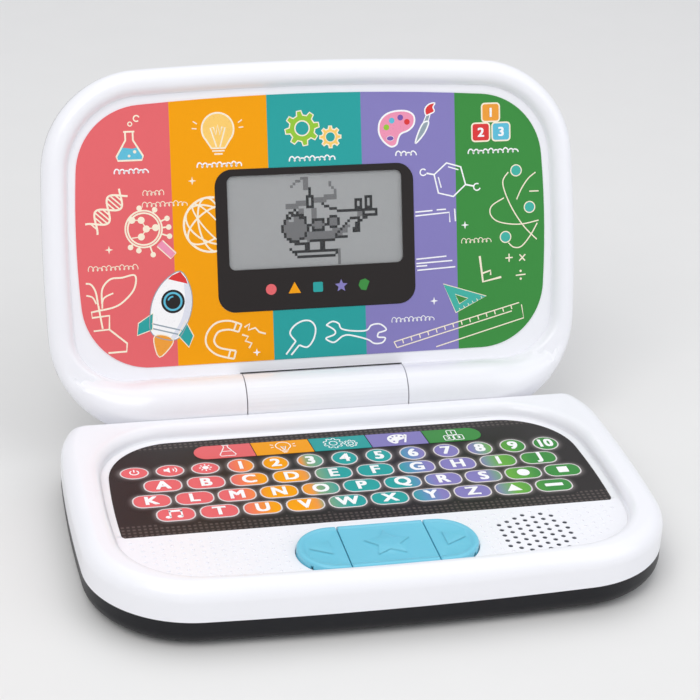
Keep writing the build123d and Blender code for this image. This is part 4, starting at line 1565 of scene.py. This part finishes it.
def drawFlask(x, y):
    neck, foot = 1.7, 6.0
    liquid = [
        (-3.7, 6.4), (-5.8, 2.4), (-5.2, 1.0), (5.2, 1.0), (5.8, 2.4), (3.7, 6.4), (1.2, 5.8),
        (-1.2, 6.2),
    ]
    paint("sky", liquid, x, y)
    glass = [
        (-neck, 13.4), (-neck, 9.6), (-foot, 2.4), (-5.4, 0.6), (5.4, 0.6), (foot, 2.4), (neck, 9.6),
        (neck, 13.4),
    ]
    line("cream", glass, x, y)
    line("cream", [(-neck - 0.8, 13.4), (neck + 0.8, 13.4)], x, y)
    lifted("cream", circlePoints(2.3, 4.4, 0.75, 12), x, y)
    lifted("cream", circlePoints(-0.3, 2.6, 0.6, 12), x, y)
    line("cream", circlePoints(0.6, 16.8, 0.9, 12), x, y, 0.5, True)
    line("cream", circlePoints(3.6, 19.2, 1.3, 14, 20, 290), x, y, 0.6)


def drawBulb(x, y):
    glass = circlePoints(0, 0, 7.3, 26, -42, 264) + [(-3.1, -8.6), (3.1, -8.6)]
    outlined("honey", "cream", glass, x, y)
    for depth, half in ((-9.8, 2.8), (-11.2, 1.9)):
        line("cream", [(-half, depth), (half, depth)], x, y, 0.7)
    left = [(-0.8, -8), (-3.4, 0.6), (-1.9, 0.9), (-1.0, -2.6)]
    filament = left + [(0, 1.8)] + [(-px, py) for px, py in reversed(left)]
    line("cream", filament, x, y, 0.62)
    for side in (-1, 1):
        rays = [(side * 9.4, 2.6), (side * 11.2, 3.8)], [(side * 9.6, 0.4), (side * 11.8, 0.6)]
        lines("cream", x, y, 0.5, *rays)


def drawGear(x, y, outer, teeth, fill, turn):
    outlined(fill, "cream", gearOutline(0, 0, outer, outer * 0.75, teeth, turn), x, y, 0.62)
    lifted("tealInk", circlePoints(0, 0, outer * 0.42, 20), x, y)
    line("cream", circlePoints(0, 0, outer * 0.42, 20), x, y, 0.6, True)


def drawPalette(x, y):
    outlined("pink", "white", softPath(paletteOutline, True, 4), x, y, 0.8)
    for ink, dx, dy in (("lime", -4.6, 0.8), ("sky", -2.0, 3.8), ("violet", 2.1, 5.1), ("red", 5.2, 3.0)):
        lifted(ink, circlePoints(dx, dy, 1.35, 14), x, y)
    lifted("violet", circlePoints(-2.9, -4.3, 1.6, 14, squash=0.65), x, y)
    line("white", circlePoints(-2.9, -4.3, 1.6, 14, squash=0.65), x, y, 0.35, True)
    handle = softPath(
        [(9.0, -6.9), (10.6, -2.0), (13.0, 2.2), (15.6, 2.6), (14.0, -1.6), (11.2, -5.2)], True, 4,
    )
    outlined("grey", "white", handle, x, y, 0.7)
    outlined("grey", "white", [(12.9, 2.2), (15.4, 2.9), (16.4, 6.2), (14.4, 5.6)], x, y, 0.5)
    tip = softPath(
        [(14.4, 5.8), (13.9, 8.6), (16.0, 10.8), (18.8, 11.2), (17.8, 9.4), (18.4, 7.4), (16.4, 6.3)],
        True, 3,
    )
    outlined("red", "white", tip, x, y, 0.6)


def drawBlocks(x, y):
    for ink, dx, dy, digit in (("orange", 0, 9.0, "1"), ("red", -4.9, 0, "2"), ("sky", 4.9, 0, "3")):
        outlined(ink, "cream", roundedBox(4.3, 4.2, 1.5, 4), x + dx, y + dy, 0.7)
        glyph = glyphMesh(digit, 4.4 * mm)
        glyph.transform(Matrix.Translation(((x + dx) * mm, (y + dy) * mm, labelFace + 0.16 * mm)))
        layer("white")[0].from_mesh(glyph)


def drawHelix(x, y, length, turn):
    width, steps, rungs = 3.9, 26, 13

    def wave(t):
        return math.cos(2.6 * math.pi * t + 0.4)

    for side in (-1, 1):
        strand = [(length * k / steps, side * width * wave(k / steps)) for k in range(steps + 1)]
        line("cream", turned(strand, turn), x, y, 0.9)
    for k in range(1, rungs):
        reach = 0.9 * width * wave(k / rungs)
        if abs(wave(k / rungs)) > 0.3:
            along = length * k / rungs
            line("cream", turned([(along, -reach), (along, reach)], turn), x, y, 0.65)


def drawMagnifier(x, y):
    line("pink", [(7.0, -6.6), (13.0, -12.6)], x, y, 4.0)
    line("cream", [(5.8, -8.2), (11.8, -14.0), (14.2, -11.6), (8.4, -5.6)], x, y, 0.5)
    for radius in (8.3, 7.2):
        line("cream", circlePoints(0, 0, radius, 36), x, y, 0.75, True)
    chain = [(-5.5, -3.9), (-1.2, -3.5), (1.2, 0), (5.4, 0.4)]
    lines("cream", x, y, 0.5, chain, [(1.2, 0), (-1.0, 4.0), (-5.6, 4.2)])
    for dx, dy in ((-1.0, 4.0), (1.2, 0), (5.4, 0.4), (-1.2, -3.5), (-5.2, 4.2)):
        dot("cream", x + dx, y + dy, 1.6)
    spikes = (
        (58, 10.0), (22, 11.6), (2, 11.4), (-18, 12.2), (-105, 10.0), (-128, 10.2), (-72, 12.4),
        (100, 9.6),
    )
    for angle, reach in spikes:
        c, s = math.cos(math.radians(angle)), math.sin(math.radians(angle))
        line("cream", [(8.4 * c, 8.4 * s), (reach * c, reach * s)], x, y, 0.7)
        dot("cream", x + reach * c, y + reach * s, 1.25)


def drawGlobe(x, y):
    radius = 12.4
    rings = [(1.0, 0, 1.0), (0.5, 35, 0.8), (0.62, -30, 0.8), (0.45, 100, 0.8), (0.25, -50, 0.7)]
    for squash, turn, pen in rings:
        for run in leftRuns(circlePoints(0, 0, radius, 40, squash=squash, turn=turn), 3.4):
            line("cream", run, x, y, pen)


def leftRuns(points, edge):
    # the open stretches of a ring that lie left of an edge
    runs = []
    for k, point in enumerate(points):
        if point[0] <= edge:
            if points[k - 1][0] > edge or not runs:
                runs.append([])
            runs[-1].append(point)
    if len(runs) > 1 and points[0][0] <= edge and points[-1][0] <= edge:
        runs[0] = runs.pop() + runs[0]
    return [run for run in runs if len(run) > 1]


def drawPlant(x, y):
    leaf = [
        (-1.7, 5.8), (-1.3, 12.4), (2.4, 16.6), (7.8, 17.1), (13.7, 17.8), (
            13.1, 11.8,
        ), (8.5, 6.6), (4.0, 4.0), (-2.0, 2.8)
    ]
    line("cream", softPath(leaf), x, y, 0.8)
    line("cream", softPath([(-1.7, 3.6), (-0.9, 8.1), (3.6, 10.3)]), x, y, 0.7)
    line("cream", softPath([(-8.6, 15.2), (-6.2, 14.6), (-4.3, 11.1), (-3.5, 5.1)]), x, y, 0.8)
    line("cream", softPath([(-8.6, 9.8), (-5.8, 8.8), (-4.3, 5.8)]), x, y, 0.7)
    line("cream", [(-3.4, 5.0), (-1.9, -5.6)], x, y, 0.8)
    pot = [
        (-2.0, 2.9), (-6.6, 2.1), (-6.4, -0.4), (1.4, 0.2), (1.1, -6.1), (8.9, -12.9), (8.5, -16.6),
        (0.2, -16.8),
    ]
    line("cream", pot, x, y, 0.85)
    line("cream", [(-6.0, -6.5), (0.8, -6.1)], x, y, 0.7)


def drawRocket(x, y, turn):
    for side in (-1, 1):
        fin = [(side * 7.6, -4.0), (side * 13.0, -10.0), (side * 12.2, -15.6), (side * 6.0, -11.4)]
        outlined("tealInk", "cream", turned(fin, turn), x, y, 0.5)
    flame = softPath(
        [(-4.4, -14.0), (-3.4, -18.4), (0.0, -23.0), (3.4, -18.4), (4.4, -14.0), (0.0, -12.6)], True, 3,
    )
    outlined("orange", "cream", turned(flame, turn), x, y, 0.5)
    lifted("red", turned([(-1.8, -14.4), (0, -19.4), (1.8, -14.4)], turn), x, y)
    right = [(6.0, 11.6), (9.0, 3.2), (8.6, -6.0), (5.4, -13.6)]
    hull = softPath([(0.0, 17.4)] + right + [(-px, py) for px, py in reversed(right)], True, 4)
    paint("white", turned(hull, turn), x, y)
    shade = [
        (2.2, 15.0), (6.0, 11.0), (8.6, 3.2), (8.2, -6.0), (5.2, -13.0), (3.0, -13.0), (5.6, -5.0),
        (5.6, 4.0),
    ]
    shade = softPath(shade, True, 3)
    lifted("cloud", turned(shade, turn), x, y)
    line("grey", turned(hull, turn), x, y, 0.4, True)
    lifted("red", turned([(0.0, 17.2), (3.3, 14.6), (4.6, 12.6), (-4.6, 12.6), (-3.3, 14.6)], turn), x, y)
    lifted("dark", turned(circlePoints(0, 3.2, 5.4, 26), turn), x, y)
    line("sky", turned(circlePoints(0, 3.2, 3.9, 24), turn), x, y, 0.9, True)
    line("sky", turned(circlePoints(0, 3.2, 2.2, 10, 100, 80), turn), x, y, 0.7)
    for half, height in ((7.2, -8.8), (6.2, -10.9)):
        line("grey", turned([(-half, height), (half, height)], turn), x, y, 0.6)


def drawMagnet(x, y):
    outer = [(8.3, 6.4), (2.3, 8.4), (-3.8, 7.5), (-7.9, 3.0), (-8.2, -2.3), (-3.8, -6.9), (4.2, -9.4)]
    inner = [(6.8, 3.0), (2.3, 4.3), (-2.4, 3.6), (-4.4, 0.8), (-4.4, -1.6), (-1.8, -4.0), (5.3, -5.7)]
    lines("cream", x, y, 0.85, softPath(outer), softPath(inner))
    lines(
        "cream", x, y, 0.8,
        [(8.3, 6.4), (6.8, 3.0)], [(5.9, 7.2), (4.6, 3.8)], [(4.2, -9.4), (5.3, -5.7)], [
            (1.6, -8.7), (2.8, -5.0),
        ],
        [(9.6, 5.0), (12.0, 6.4), (11.4, 3.6), (14.6, 4.4), (16.4, 2.4), (19.4, 1.4)],
        [(8.4, 1.6), (11.2, 0.6), (9.8, -1.4), (12.8, -2.6), (11.4, -4.8)],
    )


def drawSpade(x, y):
    blade = [
        (-2.9, -2.1), (-5.5, 1.7), (-3.4, 5.1), (0.8, 7.2), (4.6, 6.7), (6.6, 3.4), (5.5, -1.7), (
            2.5, -5.1,
        ), (-1.3, -4.0)
    ]
    lines("white", x, y, 0.75, softPath(blade), [(-2.9, -2.1), (-7.6, -8.0)], [(-1.3, -4.0), (-5.2, -8.4)])


def drawWrench(x, y):
    upper = [
        (-13.9, 4.2), (
            -10.9, 5.7,
        ), (-8.0, 4.6), (-6.7, 2.1), (-1.7, 0.8), (5.1, 0.6), (7.6, 2.9), (11.8, 3.2),
        (14.7, 0.4), (10.9, -0.8),
    ]
    lower = [
        (10.9, -0.8), (10.6, -2.8), (14.1, -3.4), (12.6, -5.6), (8.8, -5.7), (5.9, -3.8), (0.6, -2.0), (
            -4.0, -1.0,
        ),
        (-6.7, -1.6),
    ]
    jaw = [
        (-6.7, -1.6), (-10.1, -4.0), (-12.6, -3.4), (-14.1, -1.9), (-10.1, -0.4), (-10.1, 1.7),
        (-13.9, 4.2),
    ]
    lines("white", x, y, 0.72, *(softPath(part) for part in (upper, lower, jaw)))


def drawRing(x, y):
    ring = [(-1.1, 7.8), (5.7, 5.7), (7.9, -2.6), (1.9, -7.9), (-5.3, -6.0), (-7.2, 2.6)]
    line("white", ring, x, y, 0.75, True)
    lines("white", x, y, 0.55, [(-0.4, 6.0), (4.6, 4.4)], [(-5.2, 1.4), (-3.9, -3.6)])
    line("white", [(-7.2, 2.6), (-10.8, 3.4)], x, y, 0.75)
    line("white", circlePoints(-12.4, 3.9, 1.5, 12, 40, 290), x, y, 0.6)
    line("white", [(7.9, -2.6), (12.0, -3.5)], x, y, 0.75)
    line("white", circlePoints(13.4, -3.9, 1.6, 12, 60, 280), x, y, 0.6)


def drawAtom(x, y):
    orbits = (
        [(-6.0, 19.2), (-8.7, 15.1), (-7.5, 9.1), (-3.8, 1.1), (1.5, -6.8), (7.6, -13.0)],
        [(-8.3, 7.2), (-14.2, 3.8), (-15.1, 0.0), (-12.1, -3.4), (-6.0, -5.1), (0.8, -5.4), (8.6, -4.0)],
        [(7.4, 18.6), (3.8, 15.9), (0.4, 11.3), (-2.1, 6.2)],
        [(-6.4, -14.0), (-3.8, -16.2), (0.0, -15.9), (4.5, -10.9), (7.9, -5.3)],
        [(4.2, 9.8), (8.8, 9.8)],
    )
    lines("cream", x, y, 0.55, *(softPath(orbit) for orbit in orbits))
    for dx, dy in ((-2.2, 19.8), (4.2, 2.4), (-7.8, -11.2)):
        outlined("mint", "cream", circlePoints(0, 0, 2.6, 20), x + dx, y + dy, 0.5)


def drawSetSquare(x, y):
    outlined("mint", "cream", [(-9.3, 7.2), (11.6, 0.4), (-3.4, -6.7)], x, y, 0.5)
    hole = [(-3.6, 2.0), (2.6, -0.2), (-1.6, -2.6)]
    lifted("greenInk", hole, x, y)
    line("cream", hole, x, y, 0.4, True)
    for k in range(1, 7):
        share = k / 7
        start = (11.6 - 15.0 * share, 0.4 - 7.1 * share)
        line("cream", [start, (start[0] - 0.5, start[1] + 1.1)], x, y, 0.3)


def drawRuler():
    left, right = (35.6, 22.4), (97.0, 37.6)
    near, edge = (37.0, 19.6), [(56.0, 18.9), (99.2, 30.2), (98.2, 36.6)]
    lines("cream", 0, 0, 0.5, [left, right], [near, (93.4, 33.8)], edge, [left, near])
    ticks = 15
    for k in range(1, ticks):
        share = k / ticks
        x, y = left[0] + (right[0] - left[0]) * share, left[1] + (right[1] - left[1]) * share
        line("cream", [(x, y), (x + 0.5, y - 1.9)], pen=0.5)


def drawMarks():
    lines(
        "white", 0, 0, 0.62,
        [(47.2, 82.6), (55.5, 83.0)], [(57.5, 83.2), (62.0, 83.3)], [
            (47.2, 80.8), (63.6, 81.8), (63.8, 77.2),
        ],
        [(66.2, 83.4), (66.5, 77.5)], [(47.2, 60.6), (61.8, 61.4)], [(47.2, 58.6), (64.6, 59.2)],
        [(47.2, 57.3), (52.4, 57.4)], [(47.6, 55.4), (66.0, 56.2)],
    )
    line("cream", [(78.0, 60.6), (79.4, 48.4), (88.4, 50.2)], pen=1.0)
    line("cream", [(79.2, 52.4), (83.2, 53.6), (83.2, 51.4)], pen=0.8)
    lines(
        "cream", 0, 0, 0.6,
        [(90.6, 59.0), (94.2, 59.2)], [(92.4, 57.2), (92.4, 61.0)], [(97.4, 57.4), (100.4, 60.4)],
        [(97.6, 60.4), (100.2, 57.4)], [(95.6, 50.6), (100.4, 50.9)],
    )
    dot("cream", 98.0, 52.6, 0.55)
    dot("cream", 98.0, 48.9, 0.55)
    for ink, x, y in (
        (
            "cream", -56.7, 101.3,
        ), ("cream", -95.5, 71.9), ("white", -29.6, 21.4), ("white", 71.1, 75.5), ("white", 55.4, 40.6),
    ):
        sparkle(ink, x, y, 1.9)


def drawNames():
    # scribbles stand where the real label has words
    for x, y, length, loops in (
        (-91.5, 105.8, 15, 7), (-54.0, 107.2, 20, 9), (-11.5, 108.4, 21, 9), (38.6, 109.0, 9.5, 4), (
            73.4, 108.6, 24, 10,
        ),
    ):
        handwriting("white", x, y, length, 2.2, 0.62, loops)
    for ink, x, y, length, loops in (
        ("cream", -79.0, 95.6, 9, 5), ("cream", -79.5, 90.4, 20, 10), ("cream", -105.0, 62.6, 22, 11),
        ("cream", 69.5, 67.0, 14, 7), ("white", 35.0, 31.6, 20, 10),
    ):
        handwriting(ink, x, y, length, 2.4, 0.34, loops)


def drawBadges():
    # five plain shapes on the screen's border, one in each stripe colour
    row = 50.2
    shapes = (
        ("coralInk", circlePoints(0, 0, 2.5, 24)), ("amberInk", [(-2.9, -2.3), (2.9, -2.3), (0, 2.9)]),
        ("tealInk", roundedBox(2.3, 2.3, 0.6, 4)), ("lavenderInk", starPoints(0, 0, 3.1, 1.4)),
        ("greenInk", circlePoints(0, 0, 2.8, 7, 30)[:-1]),
    )
    return [
        (ink, [(x + (k - 2) * 11.0, y + row) for x, y in points]) for k,
        (ink, points) in enumerate(shapes)
    ]


def makeDrawings():
    drawFlask(-84.4, 111.0)
    drawBulb(-44.2, 124.2)
    drawGear(-5.3, 123.2, 8.0, 8, "lime", 10)
    drawGear(7.8, 118.8, 5.0, 8, "honey", 0)
    drawPalette(38.9, 121.4)
    drawBlocks(84.4, 118.4)
    drawHelix(-103.0, 81.4, 22.0, 47)
    drawMagnifier(-79.5, 80.6)
    drawGlobe(-48.8, 81.2)
    drawPlant(-98.0, 42.0)
    drawRocket(-68.4, 44.0, -16)
    drawMagnet(-44.6, 28.4)
    drawSpade(-8.3, 27.6)
    drawWrench(17.3, 28.0)
    drawRing(63.8, 97.0)
    drawAtom(98.6, 80.2)
    drawSetSquare(69.3, 41.2)
    drawRuler()
    drawMarks()
    drawNames()
    for ink, shape in sheets.items():
        mesh = bpy.data.meshes.new(ink + "Drawing")
        shape.to_mesh(mesh)
        shape.free()
        turnOutwards(mesh)
        linkPiece(ink + "Drawing", mesh, ink, "lid", lidMatrix)
    raisedFace = lensHigh.z + screen["proud"]
    for ink, points in drawBadges():
        mesh = prismMesh("badge", shifted(points, 0, 0), raisedFace - 0.05 * mm, raisedFace + 0.08 * mm)
        linkPiece(ink + "Badge", mesh, ink, "lid", lidMatrix)


for colourName, colour in stripeColours.items():
    finishes[colourName + "Ink"] = chalkFinish(
        colourName + "Ink", colour, tuple(0.85 * part for part in colour),
    )
finishes["violet"] = chalkFinish("violetInk", srgb(120, 90, 170), srgb(110, 80, 160))
makeDrawings()
print("label drawings made", len(sheets), "inks")


# ---- camera, floor and light
cameraView = {
    "aimFromHinge": Vector((3.7, -31.1, 38.5)) * mm,
    "azimuth": -14.41,
    "elevation": 26.11,
    "roll": 2.95,
    "distance": 0.9,
    "lens": 104.8,
}


def makeCamera():
    azimuth, elevation = math.radians(cameraView["azimuth"]), math.radians(cameraView["elevation"])
    roll = math.radians(cameraView["roll"])
    back = Vector((
        math.sin(azimuth) * math.cos(elevation),
        -math.cos(azimuth) * math.cos(elevation),
        math.sin(elevation),
    ))
    right = Vector((math.cos(azimuth), math.sin(azimuth), 0))
    up = back.cross(right)
    axisX = right * math.cos(roll) + up * math.sin(roll)
    axisY = up * math.cos(roll) - right * math.sin(roll)
    data = bpy.data.cameras.new("camera")
    data.lens, data.sensor_width = cameraView["lens"], 36.0
    camera = bpy.data.objects.new("camera", data)
    scene.collection.objects.link(camera)
    place = hinge + cameraView["aimFromHinge"] + back * cameraView["distance"]
    camera.matrix_world = Matrix.Translation(place) @ Matrix((axisX, axisY, back)).transposed().to_4x4()
    scene.camera = camera


def makeFloor():
    floor = temporary("floor", boxMesh((-3.0, -3.0, -0.02), (3.0, 3.0, -0.0002)))
    floor.data.materials.append(moulded("floorPaint", srgb(232, 231, 229), 0.7, grain=300.0, shift=0.02))


roomLight = ((0.93, 0.95, 1.0, 1), 0.65)
studioLights = (
    # name, place, size, power, colour
    ("keyLight", (-0.7, -0.9, 1.5), 1.1, 11.0, (1.0, 0.985, 0.96)),
    ("fillLight", (1.1, -0.8, 1.0), 1.3, 5.0, (0.96, 0.98, 1.0)),
    ("topLight", (0.1, 0.5, 1.7), 1.4, 6.0, (1.0, 1.0, 1.0)),
)


def makeLights():
    for name, place, size, power, colour in studioLights:
        data = bpy.data.lights.new(name, "AREA")
        data.size, data.energy, data.color = size, power, colour
        light = bpy.data.objects.new(name, data)
        scene.collection.objects.link(light)
        light.location = Vector(place)
        light.rotation_euler = (Vector((0, 0, 0.05)) - Vector(place)).to_track_quat("-Z", "Y").to_euler()
    world = bpy.data.worlds.new("studio")
    world.use_nodes = True
    for label, value in zip(("Color", "Strength"), roomLight):
        world.node_tree.nodes["Background"].inputs[label].default_value = value
    scene.world = world
    scene.view_settings.view_transform = "Standard"


makeCamera()
makeFloor()
makeLights()
print("camera, floor and lights placed")
